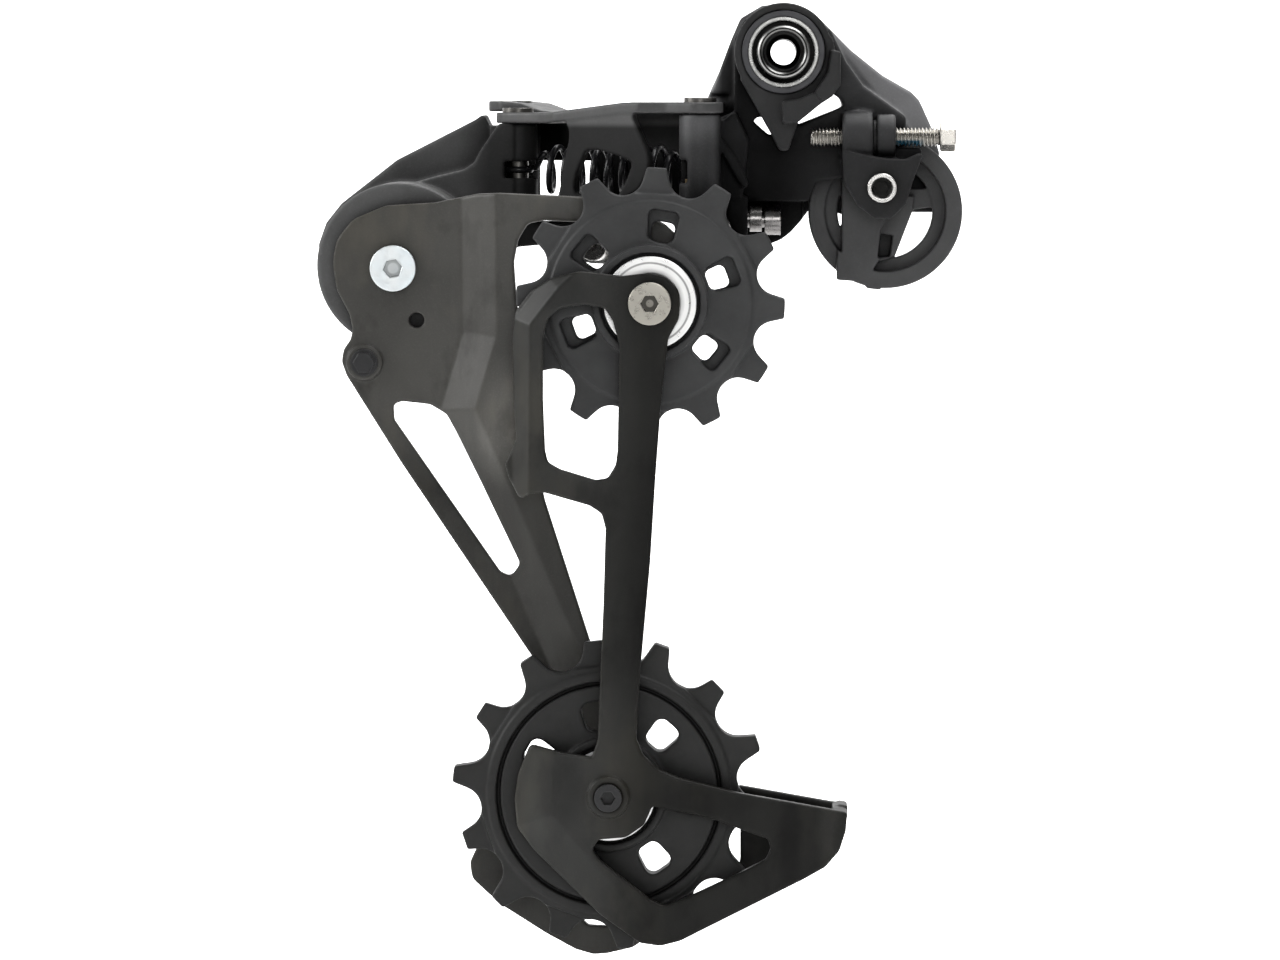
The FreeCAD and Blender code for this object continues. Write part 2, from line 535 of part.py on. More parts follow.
def outer_link():
    bottom_plan = [
        (-4.2, 4.2, 4.2), (4.0, 4.2, 3), (12, 2.6, 4), (30, 2.6, 4), (38, 4.0, 3),
        (LINK_END, 4.0, 4.0), (LINK_END, -4.0, 4.0), (36, -6.2, 5), (5, -6.2, 4),
        (-4.2, -4.2, 4.2)]
    top_plan = [
        (-4.2, 4.2, 4.2), (4.0, 4.2, 3), (12, 2.6, 4), (30, 2.6, 4), (36, 4.4, 3),
        (EAR_X, 5.4, 3), (EAR_END, 3.6, 3), (EAR_END, -3.6, 3), (EAR_X, -5.4, 3),
        (36, -6.2, 4), (5, -6.2, 4), (-4.2, -4.2, 4.2)]
    # Side view of the top sheet: along, height from TOP_Z, corner radius
    top_side = [
        (-10, 0, 0), (14.5, 0, 2), (31.5, -LINK_DROP, 1.5), (34.5, -1.6, 1.5),
        (38.5, -0.25, 2), (43, 0.2, 2), (60, 0.1, 0), (60, -1.7, 0), (43, -1.7, 2),
        (38.5, -2.1, 2), (34.5, -3.4, 1.5), (31.5, -LINK_DROP - SHEET, 1.5),
        (14.5, -SHEET, 2), (-10, -SHEET, 0)]
    top_slab = plate([(x, TOP_Z + height, radius) for x, height, radius in top_side], -20, 20)
    top = plan_plate(top_plan, -20, 0).common(top_slab)
    bottom = plan_plate(bottom_plan, BOTTOM_Z, BOTTOM_Z + SHEET)
    web = plate([
        (6, -10.5), (16, -10.5), (30, -12.6), (36, -12.4), (38, -10.9), (40.6, -10.9, 1),
        (40.6, -20.9, 1), (36.5, -20.9, 0.3), (36.5, -30), (6, -30)], -6.1, -4.5)
    web_notch = plate([(26.5, -20.9, 1), (45, -20.9), (45, -28.9), (26.5, -28.9, 1)], -8, -3)
    anchor_tab = plate([(17, -29, 1), (33, -29, 1), (30, -41, 3), (20, -41, 3)], -6.1, -4.1)
    link = drilled(fuse(top, bottom, cut(web, web_notch), anchor_tab))
    return cut(link, disc(ANCHOR, ANCHOR_R, -12, 0))


save("inner_link", placed(inner_link(), LINK_ANGLE, INNER_REAR))
save("outer_link", placed(outer_link(), LINK_ANGLE, OUTER_REAR))
anchor_bolt = cut(
    fuse(disc(ANCHOR, ANCHOR_R, -7.4, 0.0), disc(ANCHOR, 3.6, -3.0, 0.0)),
    disc(ANCHOR, 1.5, -1.9, 0.1))
save("cable_anchor_bolt", placed(anchor_bolt, LINK_ANGLE, OUTER_REAR))
anchor_washer = cut(
    box(ANCHOR[0] - 4.4, ANCHOR[0] + 4.4, -4.1, -3.0, ANCHOR[1] - 4.0, ANCHOR[1] + 4.4),
    disc(ANCHOR, ANCHOR_R, -12, 0))
save("cable_anchor_washer", placed(anchor_washer, LINK_ANGLE, OUTER_REAR))

# ---- link pins and the clips in their grooves ----
PIN_END_Z = BOTTOM_Z - 1.5
GROOVE_R = 1.6


def clip_groove(center):
    return tube(center, 3.5, GROOVE_R, BOTTOM_Z - 0.75, BOTTOM_Z - 0.1)


def headed_pin(center, top):
    pin = fuse(post(center, PIN_R, PIN_END_Z, top), post(center, 3.0, top, top + 0.95))
    return cut(pin, clip_groove(center))


def clip(center):
    low, high = BOTTOM_Z - 0.7, BOTTOM_Z - 0.15
    x, y = center
    return cut(tube(center, 3.1, GROOVE_R, low, high),
               box(x - 1.0, x + 1.0, y - 5.0, y, low - 1, high + 1))


save("inner_link_rear_pin", headed_pin(INNER_REAR, TOP_Z))
save("inner_link_front_pin", headed_pin(INNER_FRONT, FRONT_TOP_Z))
save("outer_link_rear_pin", headed_pin(OUTER_REAR, TOP_Z))
save("outer_link_front_pin", cut(
    post(OUTER_FRONT, PIN_R, PIN_END_Z, TOP_Z + 0.3), clip_groove(OUTER_FRONT)))
save("inner_link_clips", clip(INNER_REAR), clip(INNER_FRONT))
save("outer_link_clips", clip(OUTER_REAR), clip(OUTER_FRONT))

# ---- parallelogram spring, on the diagonal from outer rear pin to inner front pin ----
SPRING_DX, SPRING_DY = INNER_FRONT[0] - OUTER_REAR[0], INNER_FRONT[1] - OUTER_REAR[1]
SPRING_LENGTH = math.hypot(SPRING_DX, SPRING_DY)
SPRING_ANGLE = math.degrees(math.atan2(SPRING_DY, SPRING_DX))
HOOK_R = 0.6


def along_spring(shape):
    return placed(shape, SPRING_ANGLE, OUTER_REAR, SPRING_Z)


spring_coil = coil(radius=4.35, wire=0.7, pitch=2.9, length=26.1)
spring_coil.rotate(ORIGIN, Y_DIR, 90)
spring_coil.translate(Vec(5.0, 0, 0))
save("parallelogram_spring", along_spring(spring_coil))
save("spring_front_shank", along_spring(
    rod(SPRING_LENGTH - 5.4, SPRING_LENGTH - 3.9, (0, 0), HOOK_R)))
spring_eye = tube((0, 0), 2.75, 2.05, -0.5, 0.5)
save("spring_front_eye", placed(spring_eye, 0.0, INNER_FRONT, SPRING_Z))
hook_shank = rod(2.3, 5.5, (0, 0), HOOK_R).cut(post((0, 0), 2.4, -2, 2))
hook_riser = post((5.0, 0), HOOK_R, 0.0, 4.4)
save("spring_rear_hook", along_spring(
    fuse(spring_eye, hook_shank, hook_riser).cut(spring_coil)))

# ================= p-knuckle =================
HOUSING_CENTER = (PIVOT[0] + 1.0, PIVOT[1] + 0.4)
LOCK_BUTTON = polar(PIVOT, 10.8, -120)
COVER_SCREWS = [polar(PIVOT, 11.6, angle) for angle in (30, 150, 270)]
CLUTCH_Y0, CLUTCH_Y1 = 22.0, 28.0


def p_knuckle_housing():
    barrel = disc(HOUSING_CENTER, 15.6, -0.5, 30.0)
    arm = plate([
        (-74.01, -25.90, 1.51), (-69.17, -24.55, 1.13), (-66.26, -23.77, 0.75),
        (-61.42, -22.61, 0.75), (-59.49, -21.26, 0.75), (-58.13, -18.75, 0.75),
        (-55.22, -14.51, 0.57), (-54.06, -13.74, 0.38), (-51.93, -13.74, 0.19),
        (-51.95, -27.63, 0.19), (-56.60, -30.72, 1.13), (-64.36, -35.75, 1.51),
        (-74.05, -38.08, 1.51)], 13.8, 35.0)
    outboard_wall = plate([
        (-90.33, -37.53, 1.51), (-88.73, -33.02, 1.51), (-85.77, -29.30, 1.89),
        (-74.95, -20.87, 1.89), (-59.63, -13.05, 0.38), (-58.16, -11.98, 0.38),
        (-57.67, -13.05, 0.38), (-57.09, -14.22, 0.38), (-57.51, -28.69, 0.94),
        (-67.15, -38.50, 1.51), (-75.03, -46.35, 1.89), (-86.83, -46.36, 1.89)], 22.0, 35.4)
    outboard_wall = chamfered(outboard_wall, 3.0, 35.4)
    foot = plate([
        (-60.48, -32.65, 0.19), (-45.96, -32.65, 0.19), (-39.77, -32.64, 0.19),
        (-40.55, -33.61, 0.19), (-45.39, -33.71, 0.19), (-46.35, -34.39, 0.19),
        (-47.71, -34.77, 0.19), (-46.36, -35.35, 0.19), (-46.94, -36.90, 0.38),
        (-51.00, -37.29, 0.38), (-60.50, -40.39, 0.38)], 14.0, 20.0)
    inner_barrel = post(INNER_FRONT, 3.6, BARREL_Z, -13.8)
    outer_barrel = post(OUTER_FRONT, 3.6, BARREL_Z, -12.2)
    bridge = box(-56.5, -51.4, 17.0, 33.0, -28.4, -14.2)
    low_lug = plate([
        polar(PIVOT, 13.0, 262), polar(PIVOT, 19.6, 263) + (1,),
        polar(PIVOT, 19.8, 274) + (1,), polar(PIVOT, 13.0, 280)], -0.5, 7.0)
    x, y = INNER_FRONT
    slot_z = (SPRING_Z - 1.75, SPRING_Z + 1.75)
    return cut(
        fuse(barrel, arm, outboard_wall, inner_barrel, outer_barrel, bridge, low_lug, foot),
        disc(PIVOT, 13.4, 2.6, 31.0),
        disc(PIVOT, PIVOT_BUSH_R, -2, 3.0),
        disc(PIVOT, 14.6, 30.0, 40.0),
        post(INNER_FRONT, PIN_BUSH_R, -40, 0),
        post(OUTER_FRONT, PIN_BUSH_R, -40, 0),
        post(INNER_FRONT, 5.0, -32.5, -28.75),
        post(OUTER_FRONT, 5.0, -32.5, -28.75),
        box(x - 2.6, x + 8, y - 9.0, y + 1.4, *slot_z),     # room for the spring
        box(x, x + 8, y - 1.0, y + 4.3, *slot_z),
        disc(LOCK_BUTTON, 1.75, -1, 3.0))


save("p_knuckle_housing", p_knuckle_housing())
save("clutch_cover", cut(
    fuse(disc(PIVOT, 14.5, 30.05, 33.0), cone(PIVOT, 14.5, 12.6, 33.0, 35.6)),
    disc(PIVOT, 12.6, 29.0, 31.6), *[disc(center, 1.3, 29, 37) for center in COVER_SCREWS]))
save("clutch_cover_screws", *[
    cut(fuse(disc(center, 1.25, 29.9, 35.7), disc(center, 2.2, 35.7, 36.7)),
        hex_y(center, 2.0, 36.0, 37))
    for center in COVER_SCREWS])
save("front_pin_bushings", *[
    tube(pin, PIN_BUSH_R, PIN_R + RUN, z, z + 4.0)
    for pin in (INNER_FRONT, OUTER_FRONT) for z in (BUSH_Z, -18.0)])
save("pivot_bush", ring(PIVOT, PIVOT_BUSH_R, AXLE_R + RUN, -0.45, 2.6))
save("cage_lock_spring", ring(LOCK_BUTTON, 1.6, 1.0, 4.4, 5.7))
save("cage_lock_button", fuse(
    disc(LOCK_BUTTON, 1.7, 0.4, 2.6), disc(LOCK_BUTTON, 0.9, 2.6, 6.6)))
save("clutch_friction_band", cut(
    ring(PIVOT, 10.6, 9.4, CLUTCH_Y0, CLUTCH_Y1),
    box(PIVOT[0] - 1.2, PIVOT[0] + 1.2, 20, 30, PIVOT[1], PIVOT[1] + 20)))
save("clutch_roller_bearing", ring(PIVOT, 9.3, 5.1, CLUTCH_Y0, CLUTCH_Y1))
save("clutch_band_screw", disc(polar(PIVOT, 12.0, 90), 1.1, 20.5, 29.5))
torsion_spring = coil(radius=9.0, wire=0.8, pitch=2.1, length=10.5)
torsion_spring.rotate(ORIGIN, X_DIR, -90)
torsion_spring.translate(Vec(PIVOT[0], 7.6, PIVOT[1]))
save("cage_torsion_spring", torsion_spring)

# ================= cage =================
save("cage_axle", cut(
    fuse(disc(PIVOT, AXLE_R, -1.0, 28.6), disc(PIVOT, 6.3, 2.9, 4.0)),
    disc(PIVOT, AXLE_SCREW_R, -2, 14.0)))
save("cage_axle_screw", cut(
    fuse(disc(PIVOT, AXLE_SCREW_R, -3.2, 13.0), disc(PIVOT, 4.35, -4.5, -3.0)),
    hex_y(PIVOT, 3.2, -5, -3.4, 10)))

OUTER_OUTLINE = [
    (-85.55, -39.73, 7.55), (-84.81, -45.04, 2.64), (-82.36, -49.78, 1.89),
    (-81.80, -52.63, 1.89), (-82.19, -54.53, 1.51), (-83.53, -56.43, 1.51),
    (-83.92, -58.71, 1.51), (-82.98, -61.37, 1.51), (-72.76, -77.73), (-49.98, -111.69, 1.89),
    (-47.13, -115.90, 1.89), (-43.13, -123.17, 3.77), (-40.09, -132.37, 1.89),
    (-42.39, -137.57, 1.89), (-53.87, -149.72, 1.89), (-58.27, -151.66, 1.51),
    (-59.72, -154.75, 2.26), (-59.25, -157.83, 2.26), (-53.90, -162.73, 2.83),
    (-45.29, -168.20, 3.77), (-39.55, -171.36, 2.64), (-36.30, -172.31, 2.26),
    (-33.62, -172.21, 1.51), (-28.65, -171.03, 1.13), (-27.12, -170.06, 1.89),
    (-25.59, -166.39, 1.51), (-27.12, -162.73, 1.13), (-35.72, -162.57, 7.55),
    (-46.24, -157.78, 5.66), (-50.06, -154.33, 0.94), (-42.40, -149.68, 1.89),
    (-37.62, -147.36, 1.89), (-33.61, -146.58, 2.64), (-29.41, -145.22, 2.64),
    (-28.64, -141.56, 1.89), (-29.79, -137.53, 1.89), (-32.46, -132.74, 1.89),
    (-34.74, -119.32, 1.89), (-36.64, -111.66), (-45.18, -84.93, 3.77), (-48.02, -71.60, 3.77),
    (-49.89, -52.60, 1.89), (-50.63, -45.01, 1.89), (-51.00, -39.70, 1.89),
    (-50.24, -35.53, 2.26), (-48.34, -32.31, 1.89), (-45.11, -31.74, 1.51),
    (-36.59, -32.12, 1.89), (-32.04, -36.28, 1.89), (-30.15, -42.15, 1.51),
    (-30.53, -46.89, 1.89), (-29.01, -51.82, 2.64), (-25.22, -52.76, 2.64),
    (-21.05, -51.81, 2.64), (-19.53, -47.25, 2.64), (-20.29, -43.09, 2.26),
    (-18.78, -39.68, 2.26), (-18.78, -35.89, 3.02), (-22.38, -32.49, 2.64),
    (-29.01, -29.28, 2.26), (-37.34, -27.39, 1.89), (-53.63, -26.64, 0.38),
    (-57.80, -26.83, 0.75), (-65.96, -28.54, 0.75), (-75.45, -29.11, 4.91),
    (-81.72, -31.76, 4.91), (-84.77, -35.56, 4.91)]
OUTER_BEND = [
    (-57.03, -18.51), (-56.72, -53.55), (-60.94, -67.81), (-41.22, -113.59), (-32.84, -134.66)]
OUTER_LINE = [(-200.0, RECESS_Y), (-4.2, RECESS_Y), (2.6, OUTER_Y), (200.0, OUTER_Y)]
outer_plate = cut(
    folded(OUTER_OUTLINE, OUTER_BEND, OUTER_LINE, PLATE_T),
    plate([
        (-74.20, -66.81, 0.94), (-72.48, -66.23, 0.75), (-67.14, -66.80, 2.26),
        (-63.91, -68.70, 1.89), (-62.20, -71.75, 1.51), (-57.65, -80.91),
        (-49.86, -97.15, 1.51), (-51.77, -99.83, 1.51), (-53.87, -98.88, 1.51),
        (-74.02, -69.86, 0.94)], *THROUGH),
    disc((-69.64, -50.85), 1.5, *THROUGH),
    plate([
        (-38.56, -165.51, 0.57), (-36.65, -165.11, 0.57), (-33.21, -166.26, 0.57),
        (-33.21, -167.03, 0.38), (-37.03, -166.85, 0.57)], *THROUGH),
    disc(UPPER, PULLEY_BOLT_R, *THROUGH),
    disc(LOWER, PULLEY_BOLT_R, *THROUGH),
    disc(PIVOT, AXLE_SCREW_R, *THROUGH),
    disc(STOP_SCREW, STOP_SCREW_R, *THROUGH))
save("outer_cage_plate", fuse(outer_plate, ring(STOP_SCREW, 3.4, STOP_SCREW_R, -4.0, -2.5)))
save("cage_stop_screw", fuse(
    disc(STOP_SCREW, STOP_SCREW_R, -4.0, 5.2),
    # The collar has a fine bore, closed at both ends by the shank and the head
    cut(disc(STOP_SCREW, 2.6, -4.5, -4.0), disc(STOP_SCREW, 0.1, -5, -4)),
    hex_y(STOP_SCREW, 3.6, -5.6, -4.4)))

INNER_OUTLINE = [
    (-30.19, -41.88, 1.89), (-38.05, -40.95, 5.66), (-43.67, -42.45, 4.72),
    (-47.41, -44.89, 3.77), (-50.23, -48.64, 2.83), (-50.80, -52.95, 3.77), (-50.63, -65.14),
    (-50.08, -72.65, 1.51), (-52.16, -77.35, 0.75), (-51.60, -79.80, 0.75),
    (-49.35, -83.93, 0.94), (-47.47, -82.61, 0.94), (-44.65, -82.42, 1.51),
    (-36.21, -84.85, 1.51), (-33.95, -86.35, 1.51), (-33.21, -89.18, 1.13), (-33.59, -102.75),
    (-34.73, -129.23, 1.13), (-35.86, -132.45, 0.57), (-41.89, -131.52, 1.51),
    (-47.54, -130.21, 1.13), (-49.81, -135.90, 3.02), (-50.48, -140.65, 4.15),
    (-50.02, -145.97, 3.02), (-46.82, -150.33, 2.26), (-34.37, -162.46, 3.77),
    (-26.82, -167.76, 2.26), (-23.05, -168.13, 2.26), (-19.27, -167.16, 2.64),
    (3.34, -155.67, 1.51), (8.04, -153.00, 1.89), (10.67, -149.95, 2.64),
    (11.88, -146.15, 3.40), (12.15, -142.73, 0.57), (-7.99, -139.19, 1.89),
    (-19.29, -136.38, 2.64), (-23.06, -134.88, 1.89), (-26.26, -132.04, 1.89),
    (-27.57, -128.83, 1.89), (-27.20, -121.63), (-26.63, -114.07), (-24.94, -95.19),
    (-24.01, -80.13), (-22.89, -65.10), (-21.58, -53.48, 1.51), (-19.52, -49.73, 2.64),
    (-19.53, -44.49, 2.64), (-22.15, -41.87, 2.64), (-24.95, -41.32, 2.64)]
FLAP_Y = -5.6             # outboard face of the flap and rear wall


def inner_cage_plate():
    upper_zone = plate([
        (-64.23, -27.70), (-11.88, -27.67), (-11.79, -106.48), (-64.45, -106.60)], *THROUGH)
    lower_zone = plate([
        (-64.45, -106.60), (21.99, -106.40), (22.24, -174.63), (-64.63, -174.96)], *THROUGH)
    middle_zone = plate([
        (-46.34, -80.17), (-11.82, -80.11), (-11.77, -128.22), (-46.41, -128.31)], *THROUGH)
    upper_fold = folded(
        INNER_OUTLINE, [(-26.82, -30.48), (-41.80, -44.32), (-47.05, -51.07), (-47.29, -87.70)],
        [(-9.0, INNER_Y + 3.6), (-3.6, INNER_Y + 3.4), (-0.4, INNER_Y), (200.0, INNER_Y)],
        1.2).common(upper_zone)
    lower_fold = folded(
        INNER_OUTLINE, [(-41.87, -110.32), (-43.22, -143.48), (-15.49, -175.73)],
        [(-60.0, INNER_Y + 2.4), (-6.5, INNER_Y + 2.3), (0.0, INNER_Y), (200.0, INNER_Y)],
        PLATE_T).common(lower_zone)
    middle = plate(INNER_OUTLINE, INNER_Y, INNER_Y + PLATE_T).common(middle_zone)
    flap = plate([
        (-8.42, -139.16, 0.38), (12.35, -142.84, 0.38), (12.08, -147.83, 3.40),
        (10.85, -151.68, 2.64), (8.19, -154.76, 1.89), (3.43, -157.47, 0.94),
        (-9.91, -162.32, 0.57), (-7.92, -153.27, 0.38), (-7.94, -142.13, 0.19)], -7.4, FLAP_Y)
    # The rear wall joins the plate to the flap
    wall = plate(INNER_OUTLINE, INNER_Y, FLAP_Y).common(plate([
        (10.45, -136.67), (16.46, -136.66), (16.53, -159.43), (6.74, -159.46)], *THROUGH))
    wall = fuse(wall, plate([
        (10.58, -142.11, 0.19), (12.28, -142.39, 0.19), (12.29, -144.59), (10.58, -144.60)],
        -12.0, FLAP_Y))
    upper_window = plate([
        (-33.37, -47.87, 0.94), (-37.12, -47.13, 1.89), (-41.80, -47.88, 2.26),
        (-44.05, -49.75, 1.51), (-44.99, -52.94, 1.89), (-45.01, -65.13),
        (-44.64, -74.52, 1.51), (-44.08, -76.78, 1.13), (-41.83, -78.09, 1.13),
        (-35.08, -80.15, 1.89), (-32.83, -79.77, 1.13), (-31.32, -77.32, 1.51),
        (-30.95, -74.50, 0.94), (-30.57, -54.80, 0.94), (-31.88, -50.12, 1.89)], *THROUGH)
    lower_window = plate([
        (-24.56, -141.61, 0.38), (-26.07, -145.13, 2.26), (-29.46, -147.52, 2.64),
        (-34.55, -147.91, 0.75), (-35.87, -149.72, 0.75), (-34.37, -152.00, 0.75),
        (-31.54, -154.27, 0.57), (-24.94, -159.38, 1.51), (-22.10, -160.70, 2.26),
        (-17.39, -158.78, 1.13), (-8.91, -154.76, 0.75), (-3.07, -151.70, 1.13),
        (-2.13, -149.61, 0.94), (-2.70, -147.71, 0.75), (-7.04, -146.21, 1.51),
        (-11.75, -144.42, 1.51), (-17.40, -142.92, 1.51)], -40, -12)
    body = cut(
        fuse(fuse(upper_fold, lower_fold, middle), flap, wall), upper_window, lower_window,
        disc(UPPER, PULLEY_BOLT_R, *THROUGH), disc(LOWER, PULLEY_BOLT_R, *THROUGH))
    return fuse(body, ring(LOWER, 3.9, PULLEY_BOLT_R, -20.2, -19.0))


save("inner_cage_plate", inner_cage_plate())


# ================= pulleys =================
TOOTH_Y0, TOOTH_Y1 = PULLEY_Y - 1.9, PULLEY_Y + 1.9
NARROW = 1.05             # half thickness of the teeth that enter the inner chain links


def pulley_bolt(center, head_radius, head_height, head_y, key, key_depth):
    bolt = fuse(disc(center, PULLEY_BOLT_R, head_y, -5.0),
                disc(center, head_radius, head_y - head_height, head_y))
    end = head_y - head_height
    return cut(bolt, hex_y(center, key, end - 1, end + key_depth))


save("upper_pulley_bolt", pulley_bolt(UPPER, 4.0, 1.6, INNER_Y, 3.0, 1.8))
save("lower_pulley_bolt", pulley_bolt(LOWER, 2.6, 1.2, -20.2, 2.4, 1.6))

for name, center in (("upper", UPPER), ("lower", LOWER)):
    save(name + "_bearing_inner_ring",
         ring(center, BEARING_BORE_CAP_R, PULLEY_BOLT_R, -17.15, -7.05))
    save(name + "_bearing_outer_ring",
         ring(center, BEARING_R, 5.65, PULLEY_Y - 2.4, PULLEY_Y + 2.4))
    ball_centers = [polar(center, 4.675, 40 * k) for k in range(9)]
    save(name + "_bearing_balls", *[
        Part.makeSphere(0.93, Vec(x, PULLEY_Y, z)) for x, z in ball_centers])
    inboard_cap = cut(
        fuse(ring(center, 8.7, 5.6, -16.3, -15.4), cone(center, 6.6, 5.4, -16.3, -15.2)),
        disc(center, BEARING_BORE_CAP_R, -20, 0),
        cone(center, 5.7, 4.2, -16.31, -15.6))
    outboard_cap = ring(center, 8.7, BEARING_BORE_CAP_R, -8.6, -7.8)
    save(name + "_dust_caps", inboard_cap, outboard_cap)


def radial_block(base, angle, half_width, depth, y_min, y_max):
    """Block that starts at base and runs outwards along the angle."""
    left, right = polar(base, half_width, angle + 90), polar(base, half_width, angle - 90)
    return plate([left, polar(left, depth, angle), polar(right, depth, angle), right],
                 y_min, y_max)


def toothed(center, teeth, tip, short_tip, phase, gap_radius, flare):
    """Disc with chain gaps: arcs about the roller seats that open outwards by the flare."""
    pitch_radius = CHAIN_PITCH / (2 * math.sin(math.pi / teeth))
    low, high = TOOTH_Y0 - 1, TOOTH_Y1 + 1
    wheel = disc(center, tip, TOOTH_Y0, TOOTH_Y1)
    for k in range(teeth):
        angle = phase + 360.0 * (k + 0.5) / teeth
        seat = polar(center, pitch_radius, angle)
        near0, near1 = [polar(seat, gap_radius, angle + sign * (90 + flare)) for sign in (-1, 1)]
        far0, far1 = polar(near0, 12.0, angle - flare), polar(near1, 12.0, angle + flare)
        wheel = wheel.cut(disc(seat, gap_radius, low, high))
        wheel = wheel.cut(plate([near0, far0, far1, near1], low, high))
        if k % 2 == 0:
            tooth = phase + 360.0 * k / teeth
            root = polar(center, pitch_radius - gap_radius - 0.2, tooth)
            for y_min, y_max in ((low, PULLEY_Y - NARROW), (PULLEY_Y + NARROW, high)):
                wheel = wheel.cut(radial_block(root, tooth, 7, 14, y_min, y_max))
    if short_tip < tip:
        for k in range(0, teeth, 2):
            tooth = phase + 360.0 * k / teeth
            start = polar(center, short_tip, tooth)
            wheel = wheel.cut(radial_block(start, tooth, 5, 6, low, high))
    return wheel


def window(center, radius, angle, inner_width, outer_width, height, corner, y_min=-30, y_max=10):
    """Tapered opening centred at a radius and an angle."""
    start = polar(center, radius - height / 2, angle)
    end = polar(center, radius + height / 2, angle)
    return plate([
        polar(start, inner_width / 2, angle + 90) + (corner,),
        polar(end, outer_width / 2, angle + 90) + (corner,),
        polar(end, outer_width / 2, angle - 90) + (corner,),
        polar(start, inner_width / 2, angle - 90) + (corner,)], y_min, y_max)


def pulley(center, teeth_disc, web_radius, web_half, *openings):
    body = fuse(
        teeth_disc,
        disc(center, web_radius, PULLEY_Y - web_half, PULLEY_Y + web_half),
        disc(center, 10.75, PULLEY_Y - 4.0, PULLEY_Y + 4.0))
    return cut(
        body,
        disc(center, 9.45, -16.5, PULLEY_Y - 2.9),          # dust cap recesses
        disc(center, 9.45, PULLEY_Y + 2.9, -7),
        disc(center, BEARING_R, -20, 0),
        *openings)


upper_teeth = toothed(UPPER, TEETH_UPPER, tip=25.25, short_tip=25.25, phase=27.3,
                      gap_radius=4.0, flare=30.0)
save("upper_pulley", pulley(
    UPPER, upper_teeth, 19.0, 2.3,
    *[window(UPPER, 13.3, 20 + 60 * k, 3.9, 4.7, 4.0, 1.2) for k in range(6)],
    *[window(UPPER, 14.5, 21 + 60 * k, 4.9, 6.3, 6.0, 1.2, -20, -12.7) for k in range(6)]))
lower_teeth = toothed(LOWER, TEETH_LOWER, tip=29.7, short_tip=28.9,
                      phase=18.8 - 360.0 / TEETH_LOWER, gap_radius=4.25, flare=28.0)
save("lower_pulley", pulley(
    LOWER, lower_teeth, 23.0, 2.4,
    ring(LOWER, 21.4, 20.5, -14.5, -13.2),
    ring(LOWER, 21.4, 20.5, -10.8, -9.5),
    *[window(LOWER, 14.8, -3.6 + 360.0 / 7 * k, 4.3, 5.9, 5.8, 1.7) for k in range(7)]))
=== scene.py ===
"""Rear derailleur on a pale studio sweep.

Metres, +Z up. The mounting bolt's axis is the Y axis through the origin. -X is the front, the cage
and its two pulleys hang towards -Z, and the camera looks along +Y from the bolt's threaded end.
Piece sizes are given in millimetres and scaled by MM; the stage, lights and shader grain are in
metres.
"""
import bpy
import math
import numpy as np
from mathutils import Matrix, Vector

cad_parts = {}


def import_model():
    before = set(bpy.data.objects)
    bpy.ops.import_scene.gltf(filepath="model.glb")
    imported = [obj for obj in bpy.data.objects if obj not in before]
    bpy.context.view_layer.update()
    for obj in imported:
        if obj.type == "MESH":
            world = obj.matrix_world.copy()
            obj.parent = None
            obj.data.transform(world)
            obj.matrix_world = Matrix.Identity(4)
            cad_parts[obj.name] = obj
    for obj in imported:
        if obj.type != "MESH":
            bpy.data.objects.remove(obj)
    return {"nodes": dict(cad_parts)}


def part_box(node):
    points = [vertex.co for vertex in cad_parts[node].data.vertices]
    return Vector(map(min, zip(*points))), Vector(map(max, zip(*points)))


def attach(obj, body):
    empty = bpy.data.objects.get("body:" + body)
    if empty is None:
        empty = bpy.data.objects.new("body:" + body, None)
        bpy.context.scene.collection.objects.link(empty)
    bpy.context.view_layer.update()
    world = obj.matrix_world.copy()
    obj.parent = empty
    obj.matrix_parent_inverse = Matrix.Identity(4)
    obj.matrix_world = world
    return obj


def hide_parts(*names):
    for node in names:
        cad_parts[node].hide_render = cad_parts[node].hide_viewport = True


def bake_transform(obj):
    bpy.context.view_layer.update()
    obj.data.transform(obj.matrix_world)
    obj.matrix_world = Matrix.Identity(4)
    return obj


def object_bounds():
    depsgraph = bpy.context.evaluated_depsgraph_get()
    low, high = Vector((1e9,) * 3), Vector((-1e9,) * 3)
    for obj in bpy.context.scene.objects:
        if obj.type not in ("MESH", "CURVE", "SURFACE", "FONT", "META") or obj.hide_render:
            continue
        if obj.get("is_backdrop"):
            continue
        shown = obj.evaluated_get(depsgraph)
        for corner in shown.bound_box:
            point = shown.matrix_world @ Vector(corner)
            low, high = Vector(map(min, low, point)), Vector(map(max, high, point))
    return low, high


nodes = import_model()["nodes"]
MM = 0.001

# axes along Y, as (x, z) in mm
MOUNT = (0, 0)
UPPER_PULLEY = (-24.98, -46.98)
LOWER_PULLEY = (-32.78, -139.88)
CAGE_AXLE = (-74.08, -40.96)


def plain(bounds):
    """Bounds as plain lists."""
    if isinstance(bounds, dict):
        return {str(key): plain(value) for key, value in bounds.items()}
    if isinstance(bounds, (list, tuple)) or type(bounds).__name__ in ("Vector", "ndarray"):
        return [plain(value) for value in bounds]
    if bounds is None or isinstance(bounds, str):
        return bounds
    return float(bounds)


size_report = {"after_load": plain(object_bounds())}


# ------------------------------------------------------------------ shader nodes
MATERIALS = {}


def node(tree, kind, inputs=None, **settings):
    """Add a shader node; each input is given a value or linked from a socket."""
    made = tree.nodes.new("ShaderNode" + kind)
    for key, value in settings.items():
        setattr(made, key, value)
    for key, value in (inputs or {}).items():
        if isinstance(value, bpy.types.NodeSocket):
            tree.links.new(value, made.inputs[key])
        else:
            made.inputs[key].default_value = value
    return made


